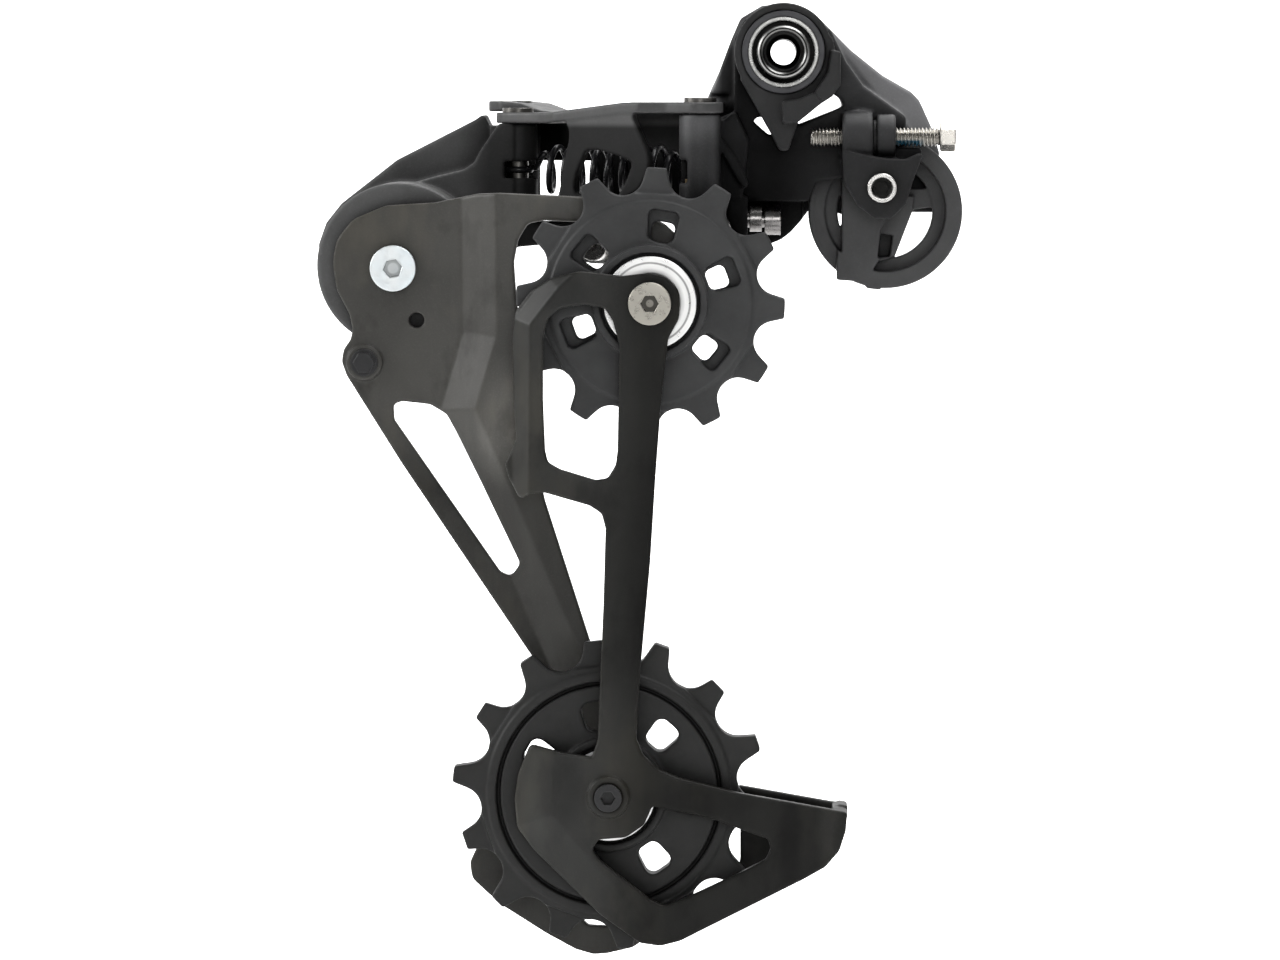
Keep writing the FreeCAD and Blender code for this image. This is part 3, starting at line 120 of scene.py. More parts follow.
def new_material(name):
    material = bpy.data.materials.new(name)
    material.use_nodes = True
    MATERIALS[name] = material
    tree = material.node_tree
    tree.nodes.clear()
    output = node(tree, "OutputMaterial")
    shader = node(tree, "BsdfPrincipled")
    tree.links.new(shader.outputs[0], output.inputs[0])
    return tree, shader


def object_coords(tree):
    return node(tree, "TexCoord").outputs["Object"]


def noise(tree, scale, detail=4.0, rough=0.55, stretch=None, coords=None):
    if coords is None:
        coords = object_coords(tree)
    if stretch is not None:
        coords = node(tree, "Mapping", {"Scale": stretch, "Vector": coords}).outputs[0]
    inputs = {"Scale": scale, "Detail": detail, "Roughness": rough, "Vector": coords}
    return node(tree, "TexNoise", inputs).outputs["Fac"]


def remap(tree, value, to=(0.0, 1.0), span=(0.3, 0.7), smooth=False):
    """Carry the range `span` of a value over to the range `to`."""
    inputs = {
        "From Min": span[0], "From Max": span[1], "To Min": to[0], "To Max": to[1],
        "Value": value,
    }
    kind = "SMOOTHSTEP" if smooth else "LINEAR"
    return node(tree, "MapRange", inputs, interpolation_type=kind).outputs[0]


def mix_colour(tree, factor, first, second):
    inputs = {0: factor}
    for socket, colour in ((6, first), (7, second)):
        inputs[socket] = colour + (1.0,) if isinstance(colour, tuple) else colour
    return node(tree, "Mix", inputs, data_type="RGBA").outputs[2]


def calculate(tree, operation, first, second, clamp=True):
    inputs = {0: first, 1: second}
    return node(tree, "Math", inputs, operation=operation, use_clamp=clamp).outputs[0]


def scale_colour(tree, colour, factor):
    inputs = {0: colour, "Scale": factor}
    return node(tree, "VectorMath", inputs, operation="SCALE").outputs[0]


def bevel_normal(tree, radius):
    return node(tree, "Bevel", {"Radius": radius}, samples=4).outputs[0]


def edge_mask(tree, rounded, gain):
    """Bright where the surface turns sharply: rubbed corners."""
    normal = node(tree, "NewGeometry").outputs["Normal"]
    facing = node(tree, "VectorMath", {0: rounded, 1: normal}, operation="DOT_PRODUCT")
    turned = calculate(tree, "SUBTRACT", 1.0, facing.outputs["Value"])
    return calculate(tree, "MULTIPLY", turned, gain)


def painted_hollow_shade_mask(tree, reach, floor):
    """Painted shade: falls to `floor` in hollows that close in within `reach` metres."""
    occlusion = node(tree, "AmbientOcclusion", {"Distance": reach}, samples=4)
    return remap(tree, occlusion.outputs["AO"], to=(floor, 1.0), span=(0.25, 0.85))


def along(tree, axis, start, end, low, high):
    """Runs from low to high between two places, in mm, on one axis of the piece."""
    split = node(tree, "SeparateXYZ", {0: object_coords(tree)})
    place = split.outputs["XYZ".index(axis)]
    return remap(tree, place, to=(low, high), span=(start * MM, end * MM), smooth=True)


def distance_xz(tree, shift, scale=(1.0, 1.0)):
    """Distance from zero in the XZ plane, after scaling and then shifting it."""
    mapping = node(tree, "Mapping", {
        "Location": (shift[0], 0.0, shift[1]),
        "Scale": (scale[0], 0.0, scale[1]),
        "Vector": object_coords(tree),
    })
    length = node(tree, "VectorMath", {0: mapping.outputs[0]}, operation="LENGTH")
    return length.outputs["Value"]


def distance_from_axis(tree, centre):
    return distance_xz(tree, (-centre[0] * MM, -centre[1] * MM))


def spot(tree, x, z, radius_x, radius_z, level):
    """Painted light (level above 1) or painted shade (level below 1): soft oval in the XZ plane,
    `level` in the middle, 1 outside.
    """
    shift = (-x / radius_x, -z / radius_z)
    scale = (1.0 / (radius_x * MM), 1.0 / (radius_z * MM))
    distance = distance_xz(tree, shift, scale)
    return remap(tree, distance, to=(level, 1.0), span=(0.35, 1.15), smooth=True)


def painted_ring_levels(tree, centre, stops):
    """Painted light and shade by distance from an axis along Y; stops are (radius in mm, level).
    """
    reach = 12.0  # mm covered by the whole colour ramp
    distance = remap(tree, distance_from_axis(tree, centre), span=(0.0, reach * MM))
    ramp = node(tree, "ValToRGB")
    elements = ramp.color_ramp.elements
    while len(elements) < len(stops):
        elements.new(0.5)
    for element, (radius, level) in zip(elements, stops):
        element.position = radius / reach
        element.color = (level, level, level, 1.0)
    tree.links.new(distance, ramp.inputs["Fac"])
    return node(tree, "SeparateXYZ", {0: ramp.outputs["Color"]}).outputs[0]


def finish_surface(tree, shader, colour, rough, bumps, normal, metallic=0.0, spec=0.5, coat=0.0):
    """Feed the shader; bumps are (height, distance in metres, strength), stacked in order."""
    values = {
        "Metallic": metallic, "Specular IOR Level": spec,
        "Coat Weight": coat, "Coat Roughness": 0.2,
    }
    for key, value in values.items():
        shader.inputs[key].default_value = value
    for height, distance, strength in bumps:
        inputs = {"Distance": distance, "Strength": strength, "Height": height, "Normal": normal}
        normal = node(tree, "Bump", inputs).outputs[0]
    for key, socket in (("Base Color", colour), ("Roughness", rough), ("Normal", normal)):
        tree.links.new(socket, shader.inputs[key])


def grey(level):
    return (level, level, level)


def shade(colour, *factors):
    """Colour times one factor, or times one factor per channel."""
    return tuple(min(1, value * factor) for value, factor in zip(colour, factors * 3))


# ------------------------------------------------------------------ material kinds
def coated(name, base, worn, rough=(0.36, 0.52), grain=2600.0, grain_height=0.00002, wear=1.2,
           radius=0.0005, blotch=90.0, spec=0.5, coat=0.0, speck=0.25, streak=None, painted_hollow_shade=None,
           painted_fades=(), painted_spots=(), patina=None):
    """Painted, moulded or blackened surface.

    base, worn: colours of the coat and of its rubbed edges; wear, radius: gain and width of those
    rough: roughness range; grain, grain_height: scale and relief of the fine texture
    blotch: scale of the broad mottling; speck: amount of light specks
    streak: stretch of long light streaks; patina: amounts of light and dark film
    painted_hollow_shade: (reach, darkest level) of painted shade in hollows
    painted_fades: (axis, start, end, level at start, level at end), places in mm, painted light
    and shade along one axis
    painted_spots: (x, z, radius x, radius z, level), in mm, soft ovals of painted light and
    painted shade
    """
    tree, shader = new_material(name)
    broad = noise(tree, scale=blotch, detail=3.0)
    middle = noise(tree, scale=blotch * 6, detail=5.0, rough=0.6)
    fine = noise(tree, scale=grain, detail=3.0, rough=0.7)
    colour = mix_colour(tree, remap(tree, broad), shade(base, 0.82), shade(base, 1.22))
    specks = remap(tree, fine, to=(0.0, speck), span=(0.5, 0.75))
    colour = mix_colour(tree, specks, colour, shade(base, 1.9))

    rounded = bevel_normal(tree, radius)
    edges = edge_mask(tree, rounded, wear)
    broken = remap(tree, middle, to=(0.15, 1.0), span=(0.35, 0.65))
    colour = mix_colour(tree, calculate(tree, "MULTIPLY", edges, broken), colour, worn)

    if streak is not None:
        lines = noise(tree, scale=160.0, rough=0.6, stretch=streak)
        lines = remap(tree, lines, to=(0.0, 0.35), span=(0.52, 0.72))
        colour = mix_colour(tree, lines, colour, shade(base, 1.6))
    if patina is not None:
        # cloudy, slightly brown film, lighter and darker areas drawn out along Z
        light = noise(tree, scale=55.0, rough=0.62, stretch=(1.0, 1.0, 0.45))
        light = remap(tree, light, to=(0.0, patina[0]), span=(0.5, 0.68))
        colour = mix_colour(tree, light, colour, shade(base, 1.85, 1.75, 1.55))
        dark = noise(tree, scale=95.0, detail=5.0, rough=0.6, stretch=(1.0, 1.0, 0.6))
        dark = remap(tree, dark, to=(0.0, patina[1]), span=(0.52, 0.7))
        colour = mix_colour(tree, dark, colour, shade(base, 0.42, 0.41, 0.40))

    # soft ovals of painted light and painted shade
    for values in painted_spots:
        colour = scale_colour(tree, colour, spot(tree, *values))
    # painted light and shade fades and painted shade in hollows dim the reflection as well as the
    # colour
    levels = [(along, values) for values in painted_fades]
    if painted_hollow_shade is not None:
        levels.append((painted_hollow_shade_mask, painted_hollow_shade))
    gain = None
    for mask, values in levels:
        level = mask(tree, *values)
        colour = scale_colour(tree, colour, level)
        gain = level if gain is None else calculate(tree, "MULTIPLY", gain, level, clamp=False)

    bumps = [(fine, grain_height, 0.35), (middle, grain_height * 3, 0.18)]
    finish_surface(tree, shader, colour, remap(tree, middle, to=rough), bumps, rounded,
                   spec=spec, coat=coat)
    if gain is not None:
        dimmed = calculate(tree, "MULTIPLY", gain, spec, clamp=False)
        tree.links.new(dimmed, shader.inputs["Specular IOR Level"])


def metal(name, base, rough, tint=None, dirt=0.25, turned=None, painted_fades=(), rings=None,
          painted_hollow_shade=None):
    """Bare or plated metal.

    tint: second colour in broad patches; dirt: amount of dark specks
    turned: (x, z) axis of fine turning marks; rings: (radius, level) stops of painted light and
    shade about that axis rough, painted_fades, painted_hollow_shade: as for coated(), painted
    light and shade
    """
    tree, shader = new_material(name)
    middle = noise(tree, scale=700.0, detail=5.0, rough=0.6)
    broad = noise(tree, scale=160.0, detail=2.0)
    colour = mix_colour(tree, remap(tree, broad), shade(base, 0.93), shade(base, 1.05))
    specks = remap(tree, middle, to=(0.0, dirt), span=(0.55, 0.8))
    colour = mix_colour(tree, specks, colour, shade(base, 0.5))
    if tint is not None:
        patches = remap(tree, broad, to=(0.0, 0.6), span=(0.4, 0.7))
        colour = mix_colour(tree, patches, colour, tint)
    bumps = [(middle, 0.000012, 0.2)]
    rounded = bevel_normal(tree, radius=0.0003)
    if turned is not None:
        coords = node(tree, "CombineXYZ", {0: distance_from_axis(tree, turned)}).outputs[0]
        marks = noise(tree, scale=5200.0, detail=2.0, rough=0.5, coords=coords)
        bumps.append((marks, 0.000006, 0.12))
    # painted shade on recessed faces, painted light and shade rings by radius, painted shade in
    # hollows
    for values in painted_fades:
        colour = scale_colour(tree, colour, along(tree, *values))
    if rings is not None:
        colour = scale_colour(tree, colour, painted_ring_levels(tree, turned, rings))
    if painted_hollow_shade is not None:
        colour = scale_colour(tree, colour, painted_hollow_shade_mask(tree, *painted_hollow_shade))
    finish_surface(tree, shader, colour, remap(tree, middle, to=rough), bumps, rounded,
                   metallic=1.0)


# ------------------------------------------------------------------ coated materials
CAST = dict(grain=2400.0, grain_height=0.00003, wear=0.8, radius=0.0007)
PLATE = dict(
    rough=(0.32, 0.46), grain=3000.0, grain_height=0.000012, blotch=45.0,
    streak=(1.0, 1.0, 0.12),
)
NYLON = dict(rough=(0.42, 0.56), grain_height=0.00003, speck=0.12)
# painted shade in the pulleys' hollows
PULLEY = dict(NYLON, grain=1600.0, wear=0.7, painted_hollow_shade=(0.006, 0.35))

# painted light and shade: a bright and a dark oval, brighter and darker bands along X, Z and Y,
# painted shade in hollows
coated(
    "knuckle_coat", (0.030, 0.030, 0.031), grey(0.085), **CAST,
    rough=(0.42, 0.56), spec=0.18, painted_hollow_shade=(0.012, 0.2),
    painted_spots=((-8.2, -21.4, 6.0, 7.0, 1.70), (-8.1, -3.4, 5.0, 10.0, 0.50)),
    painted_fades=(
        ("X", -2.0, 10.0, 0.45, 1.25), ("X", -13.5, -11.5, 5.0, 1.0),
        ("Z", -19.0, -13.0, 0.5, 1.0),
        ("Y", 9.5, 12.3, 1.0, 3.6), ("Y", 17.0, 19.5, 1.0, 0.4),
    ),
)
# painted light fading to painted shade along X, painted shade in hollows
coated(
    "housing_coat", grey(0.054), grey(0.12), **CAST,
    rough=(0.40, 0.54), spec=0.24, painted_hollow_shade=(0.010, 0.3), painted_fades=(("X", -64.0, -56.0, 1.3, 0.45),),
)
# painted highlight and painted shade ovals, painted light and shade fades along Z and X, painted
# shade in hollows
coated(
    "outer_plate_coat", (0.052, 0.0505, 0.046), (0.12, 0.116, 0.108), **PLATE,
    spec=0.3, painted_hollow_shade=(0.004, 0.4), patina=(0.55, 0.8),
    painted_spots=((-53.1, -70.5, 5.5, 13.0, 1.90), (-69.8, -79.1, 9.0, 14.0, 0.75)),
    painted_fades=(("Z", -84.0, -72.0, 0.6, 1.0), ("X", -86.0, -60.0, 0.84, 1.06)),
)
# painted highlight and painted shade ovals, painted light and shade fades along Z and X, painted
# shade in hollows
coated(
    "inner_plate_coat", (0.0145, 0.0145, 0.0132), (0.065, 0.063, 0.058), **PLATE,
    spec=0.2, painted_hollow_shade=(0.004, 0.45), patina=(0.8, 0.8),
    painted_spots=(
        (-41.8, -44.5, 6.0, 6.0, 0.55), (-41.6, -138.5, 5.5, 9.0, 0.50),
        (-15.5, -140.7, 12.0, 4.0, 0.68), (1.4, -147.8, 2.6, 13.0, 0.50),
        (9.4, -145.9, 3.2, 12.0, 1.90), (-45.7, -140.8, 4.0, 12.0, 1.25),
    ),
    painted_fades=(
        ("Z", -100.0, -60.0, 0.8, 1.1), ("Z", -128.0, -112.0, 1.35, 1.0),
        ("X", -38.0, -24.0, 1.3, 0.62),
    ),
)
# painted light along the top, painted shade in hollows
coated(
    "link_coat", grey(0.013), grey(0.13),
    spec=0.14, painted_hollow_shade=(0.008, 0.35), painted_fades=(("Z", -14.6, -13.2, 1.0, 3.6),),
)
# painted shade in hollows
coated(
    "stop_plate_coat", (0.024, 0.024, 0.0245), grey(0.08),
    rough=(0.38, 0.5), wear=0.9, radius=0.0006, spec=0.2, painted_hollow_shade=(0.006, 0.4),
)
# painted shade in hollows
coated(
    "nylon_black", (0.060, 0.060, 0.061), grey(0.12), **NYLON,
    grain=1800.0, wear=0.5, radius=0.0004, spec=0.28, painted_hollow_shade=(0.008, 0.3),
)
coated("upper_pulley_nylon", (0.037, 0.0375, 0.038), grey(0.09), **PULLEY, spec=0.3)
coated("lower_pulley_nylon", (0.0165, 0.0165, 0.016), grey(0.055), **PULLEY, spec=0.26)
coated(
    "black_steel", (0.020, 0.020, 0.021), grey(0.10),
    rough=(0.28, 0.42), radius=0.0003, spec=0.3,
)
coated(
    "spring_wire", (0.010, 0.010, 0.011), grey(0.08),
    rough=(0.24, 0.36), wear=0.6, radius=0.0002, coat=0.1, spec=0.35,
)

# ------------------------------------------------------------------ metals
# painted light and shade on the turned faces, bright bands and dark rings: (radius in mm, level)
UPPER_BOLT_RINGS = ((0.0, 2.6), (0.62, 2.6), (0.78, 0.8), (1.45, 0.8), (1.85, 1.0))
AXLE_SCREW_RINGS = ((0.0, 1.25), (0.9, 1.25), (1.2, 0.8), (1.75, 0.75), (1.95, 1.0))
MOUNT_SLEEVE_RINGS = (
    (0.0, 1.0), (4.50, 1.0), (4.60, 0.06), (4.75, 0.06), (4.82, 0.8), (5.0, 0.8),
    (5.08, 0.015), (5.88, 0.015), (6.0, 0.8), (6.2, 1.0), (6.5, 1.1), (6.7, 0.5),
)
MOUNT_BOLT_RINGS = (
    (0.0, 0.02), (2.9, 0.03), (3.9, 0.05), (4.02, 0.5), (4.18, 0.5),
    (4.28, 0.03), (4.46, 0.03), (4.54, 0.9), (4.78, 0.9), (4.9, 0.05),
)
UPPER_CAP_RINGS = (
    (0.0, 0.4), (5.4, 0.5), (6.0, 0.8), (6.6, 1.1), (7.2, 1.1),
    (7.42, 0.34), (7.6, 0.5), (7.75, 1.1), (8.75, 1.1), (9.05, 0.55),
)

metal("pin_steel", (0.16, 0.155, 0.145), rough=(0.28, 0.45))
metal("bright_bolt", (0.60, 0.59, 0.57), rough=(0.18, 0.32))
# painted shade on the recessed face of the head
metal(
    "wheel_bolt_plate", (0.66, 0.65, 0.63), rough=(0.18, 0.30), dirt=0.1,
    painted_fades=(("Y", -4.75, -4.6, 1.0, 0.02),),
)
metal("limit_screw_plate", (0.26, 0.25, 0.245), rough=(0.20, 0.34))
# painted light and shade rings by radius, painted shade on the socket floor
metal(
    "upper_bolt_plate", (0.46, 0.44, 0.39), rough=(0.24, 0.36), dirt=0.1,
    turned=UPPER_PULLEY, rings=UPPER_BOLT_RINGS, painted_fades=(("Y", -19.7, -19.3, 1.0, 0.22),),
)
# painted light and shade rings by radius, painted shade on the recessed face
metal(
    "zinc_plate", (0.93, 0.96, 0.96), rough=(0.30, 0.44), tint=(0.74, 0.85, 0.90), dirt=0.08,
    turned=CAGE_AXLE, rings=AXLE_SCREW_RINGS, painted_fades=(("Y", -4.4, -4.25, 1.0, 0.56),),
)
metal("sleeve_alloy", (0.30, 0.30, 0.295), rough=(0.22, 0.36), turned=MOUNT)
# painted light and shade rings by radius
metal(
    "mount_sleeve_alloy", (0.34, 0.34, 0.33), rough=(0.22, 0.36), dirt=0.1,
    turned=MOUNT, rings=MOUNT_SLEEVE_RINGS,
)
metal("dark_alloy", (0.055, 0.055, 0.058), rough=(0.30, 0.42), turned=MOUNT)
# painted light and shade rings by radius
metal(
    "mounting_bolt_alloy", (0.42, 0.42, 0.41), rough=(0.26, 0.38), dirt=0.1,
    turned=MOUNT, rings=MOUNT_BOLT_RINGS,
)
# painted light and shade rings by radius: highlight bands, shadow and groove shade
metal(
    "dust_cap_upper", (0.88, 0.88, 0.87), rough=(0.26, 0.34), dirt=0.03,
    turned=UPPER_PULLEY, rings=UPPER_CAP_RINGS,
)
metal("dust_cap_lower", grey(0.80), rough=(0.26, 0.38), turned=LOWER_PULLEY)
metal("bearing_steel", (0.62, 0.62, 0.63), rough=(0.12, 0.22))
metal("bronze_bush", (0.42, 0.30, 0.16), rough=(0.3, 0.45))
# painted shade in the thread's hollows
metal(
    "stainless_screw", (0.60, 0.575, 0.53), rough=(0.22, 0.34), dirt=0.06,
    painted_hollow_shade=(0.0008, 0.25),
)

# which loaded pieces wear each material
WEARERS = {
    "knuckle_coat": "b_knuckle",
    "housing_coat": "p_knuckle_housing clutch_cover",
    "outer_plate_coat": "outer_cage_plate",
    "inner_plate_coat": "inner_cage_plate",
    "link_coat": "inner_link outer_link",
    "stop_plate_coat": "hanger_stop_plate",
    "nylon_black": """mount_bore_bushing b_screw_insert limit_screw_sleeves cable_wheel
        cage_lock_button""",
    "upper_pulley_nylon": "upper_pulley",
    "lower_pulley_nylon": "lower_pulley",
    "black_steel": """cable_wheel_nut inner_link_clips outer_link_clips clutch_cover_screws
        clutch_band_screw cage_stop_screw lower_pulley_bolt""",
    "spring_wire": """spring_front_eye parallelogram_spring spring_rear_hook
        spring_front_shank cage_lock_spring cage_torsion_spring""",
    "pin_steel": """inner_link_rear_pin inner_link_front_pin outer_link_rear_pin
        outer_link_front_pin""",
    "bright_bolt": "cable_anchor_bolt",
    "wheel_bolt_plate": "cable_wheel_bolt",
    "limit_screw_plate": "high_limit_screw low_limit_screw",
    "upper_bolt_plate": "upper_pulley_bolt",
    "zinc_plate": "cage_axle_screw",
    "sleeve_alloy": "cable_anchor_washer cage_axle",
    "mount_sleeve_alloy": "mount_sleeve",
    "dark_alloy": "mounting_bolt mount_washer_ring",
    "dust_cap_upper": "upper_dust_caps",
    "dust_cap_lower": "lower_dust_caps",
    "bearing_steel": """clutch_friction_band clutch_roller_bearing
        upper_bearing_inner_ring upper_bearing_outer_ring upper_bearing_balls
        lower_bearing_inner_ring lower_bearing_outer_ring lower_bearing_balls""",
    "bronze_bush": "rear_pin_bushings cable_wheel_bush front_pin_bushings pivot_bush",
    "stainless_screw": "b_adjust_screw",
}
material_of = {piece: name for name, pieces in WEARERS.items() for piece in pieces.split()}
for piece_name, piece in nodes.items():
    piece.data.materials.clear()
    piece.data.materials.append(MATERIALS[material_of[piece_name]])

# ------------------------------------------------------------------ rounded edges
# cast, moulded and stamped pieces: (voxel in mm, smoothing passes)
ROUNDING = {
    "b_knuckle": (0.30, 4), "p_knuckle_housing": (0.30, 4), "clutch_cover": (0.32, 4),
    "hanger_stop_plate": (0.20, 3), "inner_link": (0.20, 3), "outer_link": (0.22, 3),
    "cable_wheel": (0.20, 3), "upper_pulley": (0.25, 2), "lower_pulley": (0.26, 2),
    "outer_cage_plate": (0.27, 2), "inner_cage_plate": (0.25, 2), "b_screw_insert": (0.15, 3),
}
REFILL = 0.12  # outward push per pass, in voxels, against the shrinking of the smoothing


def round_edges(piece, voxel, passes):
    remesh = piece.modifiers.new("round", "REMESH")
    remesh.mode = "VOXEL"
    remesh.voxel_size = voxel * MM * 1.0
    remesh.use_smooth_shade = True
    smooth = piece.modifiers.new("soft", "SMOOTH")
    smooth.factor = 0.5
    smooth.iterations = passes
    push = piece.modifiers.new("full", "DISPLACE")
    push.strength = REFILL * voxel * passes * MM
    push.mid_level = 0.0


for piece_name, (voxel, passes) in ROUNDING.items():
    round_edges(nodes[piece_name], voxel, passes)


# ------------------------------------------------------------------ mesh helpers
def add_object(name, data):
    made = bpy.data.objects.new(name, data)
    bpy.context.scene.collection.objects.link(made)
    return made


def add_piece(name, shape, material, replaces, body=None, smooth=False):
    verts, faces = shape
    mesh = bpy.data.meshes.new(name)
    mesh.from_pydata([tuple(float(value) * MM for value in vert) for vert in verts], [], faces)
    mesh.validate()
    mesh.update()
    if smooth:
        mesh.polygons.foreach_set("use_smooth", [True] * len(mesh.polygons))
    made = add_object(name, mesh)
    mesh.materials.append(MATERIALS[material])
    if body is not None:
        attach(made, body)
    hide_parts(*replaces)
    return made


def axis_frame(axis):
    """Unit vector along the axis and two across it."""
    forward = np.array(axis, float)
    forward /= np.linalg.norm(forward)
    guide = np.array([0, 0, 1.0]) if abs(forward[2]) < 0.9 else np.array([1.0, 0, 0])
    side = np.cross(guide, forward)
    side /= np.linalg.norm(side)
    return forward, side, np.cross(forward, side)


def spoke(side, across, k, seg):
    """Unit vector towards point k of seg round a circle."""
    angle = 2 * math.pi * k / seg
    return side * math.cos(angle) + across * math.sin(angle)


def skin(rings, end_centres=()):
    """Wall through equal rings of points, fanned shut at both ends if centres are given."""
    seg = len(rings[0])
    last = len(rings) - 1
    verts = [vert for ring in rings for vert in ring]
    faces = []
    for i in range(last):
        for k in range(seg):
            k2 = (k + 1) % seg
            faces.append((i * seg + k, i * seg + k2, (i + 1) * seg + k2, (i + 1) * seg + k))
    for first, centre, flip in zip((0, last * seg), end_centres, (True, False)):
        verts.append(centre)
        for k in range(seg):
            face = (first + k, first + (k + 1) % seg, len(verts) - 1)
            faces.append(face[::-1] if flip else face)
    return verts, faces


def lathe(profile, centre, axis, seg):
    """Turned solid from a closed loop of (radius, distance along the axis)."""
    forward, side, across = axis_frame(axis)
    centre = np.array(centre, float)
    count = len(profile)
    verts, faces = [], []
    for k in range(seg):
        out = spoke(side, across, k, seg)
        verts += [centre + forward * height + out * radius for radius, height in profile]
    for k in range(seg):
        k2 = (k + 1) % seg
        for i in range(count):
            j = (i + 1) % count
            faces.append((k * count + i, k2 * count + i, k2 * count + j, k * count + j))
    return verts, faces


def thread(start, axis, radius, depth, pitch, length, taper, seg, rows_per_turn, bore=None):
    """Rod, or tube if it has a bore, with a helical thread tapered in at both ends."""
    forward, side, across = axis_frame(axis)
    start = np.array(start, float)
    rows = int(length / pitch * rows_per_turn)
    rings = []
    for i in range(rows + 1):
        height = length * i / rows
        fullness = max(0.0, min(1.0, height / taper, (length - height) / taper))
        ring = []
        for k in range(seg):
            phase = (height / pitch - k / seg) % 1.0
            # triangle wave with crest and root cut flat
            crest = min(1.0, max(0.0, abs(phase * 2 - 1) * 1.5 - 0.25))
            reach = radius - depth * (1 - crest * fullness)
            reach = min(reach, radius - (1 - fullness) * depth * 0.6)
            ring.append(start + forward * height + spoke(side, across, k, seg) * reach)
        rings.append(ring)
    if bore is None:
        return skin(rings, (start, start + forward * length))

    verts, faces = skin(rings)
    inner = len(verts)
    end = rows * seg
    for height in (0.0, length):
        for k in range(seg):
            verts.append(start + forward * height + spoke(side, across, k, seg) * bore)
    for k in range(seg):
        k2 = (k + 1) % seg
        faces.append((inner + k2, inner + k, inner + seg + k, inner + seg + k2))
        faces.append((k2, k, inner + k, inner + k2))
        faces.append((end + k, end + k2, inner + seg + k2, inner + seg + k))
    return verts, faces


def hex_head(centre, axis, radius, bottom, top, turn, chamfer, seg):
    """Six-sided head with turned-off corners."""
    forward, side, across = axis_frame(axis)
    centre = np.array(centre, float)
    # (height, radius the corners are turned down to)
    rows = (
        (bottom, radius * 0.86), (bottom + chamfer * 0.5, radius * 0.99),
        (bottom + chamfer, radius), (top - chamfer, radius),
        (top - chamfer * 0.45, radius * 0.985), (top, radius * 0.84),
    )
    rings = []
    for height, limit in rows:
        ring = []
        for k in range(seg):
            from_flat = (2 * math.pi * k / seg - turn) % (math.pi / 3) - math.pi / 6
            reach = min(radius * math.cos(math.pi / 6) / math.cos(from_flat), limit)
            ring.append(centre + forward * height + spoke(side, across, k, seg) * reach)
        rings.append(ring)
    return skin(rings, (centre + forward * bottom, centre + forward * top))


def wire(points, radius, seg):
    """Round wire swept along points, ends capped."""
    path = np.array(points, float)
    tangents = np.gradient(path, axis=0)
    tangents /= np.linalg.norm(tangents, axis=1)[:, None]
    side = axis_frame(tangents[0])[1]
    rings = []
    for place, tangent in zip(path, tangents):
        side = side - tangent * np.dot(side, tangent)
        side /= np.linalg.norm(side)
        across = np.cross(tangent, side)
        rings.append([place + spoke(side, across, k, seg) * radius for k in range(seg)])
    return skin(rings, (path[0], path[-1]))


def merge(*shapes):
    verts, faces = [], []
    for shape_verts, shape_faces in shapes:
        offset = len(verts)
        verts += list(shape_verts)
        faces += [tuple(i + offset for i in face) for face in shape_faces]
    return verts, faces


def middle_mm(low, high):
    """Middle of two places in metres, as mm."""
    return (low + high) * 500


# ------------------------------------------------------------------ parallelogram spring, mm
SPRING_REAR_PIN = np.array([-15.8, 10.0])   # x, y
SPRING_FRONT_PIN = np.array([-51.2, 17.7])  # x, y
WIRE_RADIUS = 0.62
COIL_RADIUS = 4.35
COIL_TURNS = 9
STEPS_PER_TURN = 36
COIL_START, COIL_END = 5.2, 31.0  # along the spring from the rear pin
HOOK_RADIUS = 2.4
HOOK_SWEEP = 270  # degrees
HOOK_STEPS = 25
# wire between hook and coil: along, sideways, up
REAR_LEAD = ((3.4, 0.9, 0.3), (4.4, 0.6, 2.2))
FRONT_LEAD = ((31.8, -0.5, 2.3), (32.8, -0.9, 0.4))


def build_spring():
    eye_low, eye_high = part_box("spring_front_eye")
    rear = np.array([*SPRING_REAR_PIN, middle_mm(eye_low.z, eye_high.z)])
    span = SPRING_FRONT_PIN - SPRING_REAR_PIN
    length = float(np.linalg.norm(span))
    forward = np.array([span[0] / length, span[1] / length, 0.0])
    sideways = np.array([-forward[1], forward[0], 0.0])
    upward = np.array([0, 0, 1.0])

    def place(distance, aside, up):
        return rear + forward * distance + sideways * aside + upward * up

    def hook(distance, start_degrees):
        points = []
        for k in range(HOOK_STEPS + 1):
            angle = math.radians(start_degrees - HOOK_SWEEP * k / HOOK_STEPS)
            along_spring = distance + HOOK_RADIUS * math.cos(angle)
            points.append(place(along_spring, HOOK_RADIUS * math.sin(angle), 0.0))
        return points

    points = hook(0.0, start_degrees=300)
    points += [place(*lead) for lead in REAR_LEAD]
    steps = COIL_TURNS * STEPS_PER_TURN
    for k in range(steps + 1):
        part = k / steps
        angle = 2 * math.pi * COIL_TURNS * part
        # the coil narrows over the last fourteenth at each end
        fullness = min(1.0, part * 14, (1 - part) * 14)
        radius = COIL_RADIUS * (0.72 + 0.28 * fullness)
        distance = COIL_START + (COIL_END - COIL_START) * part
        points.append(place(distance, radius * math.sin(angle), radius * math.cos(angle)))
    points += [place(*lead) for lead in FRONT_LEAD]
    points += hook(length, start_degrees=240)

    spring = add_piece(
        "tension_spring_wire", wire(points, WIRE_RADIUS, seg=12), "spring_wire",
        smooth=True,
        replaces=("parallelogram_spring", "spring_rear_hook", "spring_front_shank"),
    )
    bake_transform(spring)


build_spring()


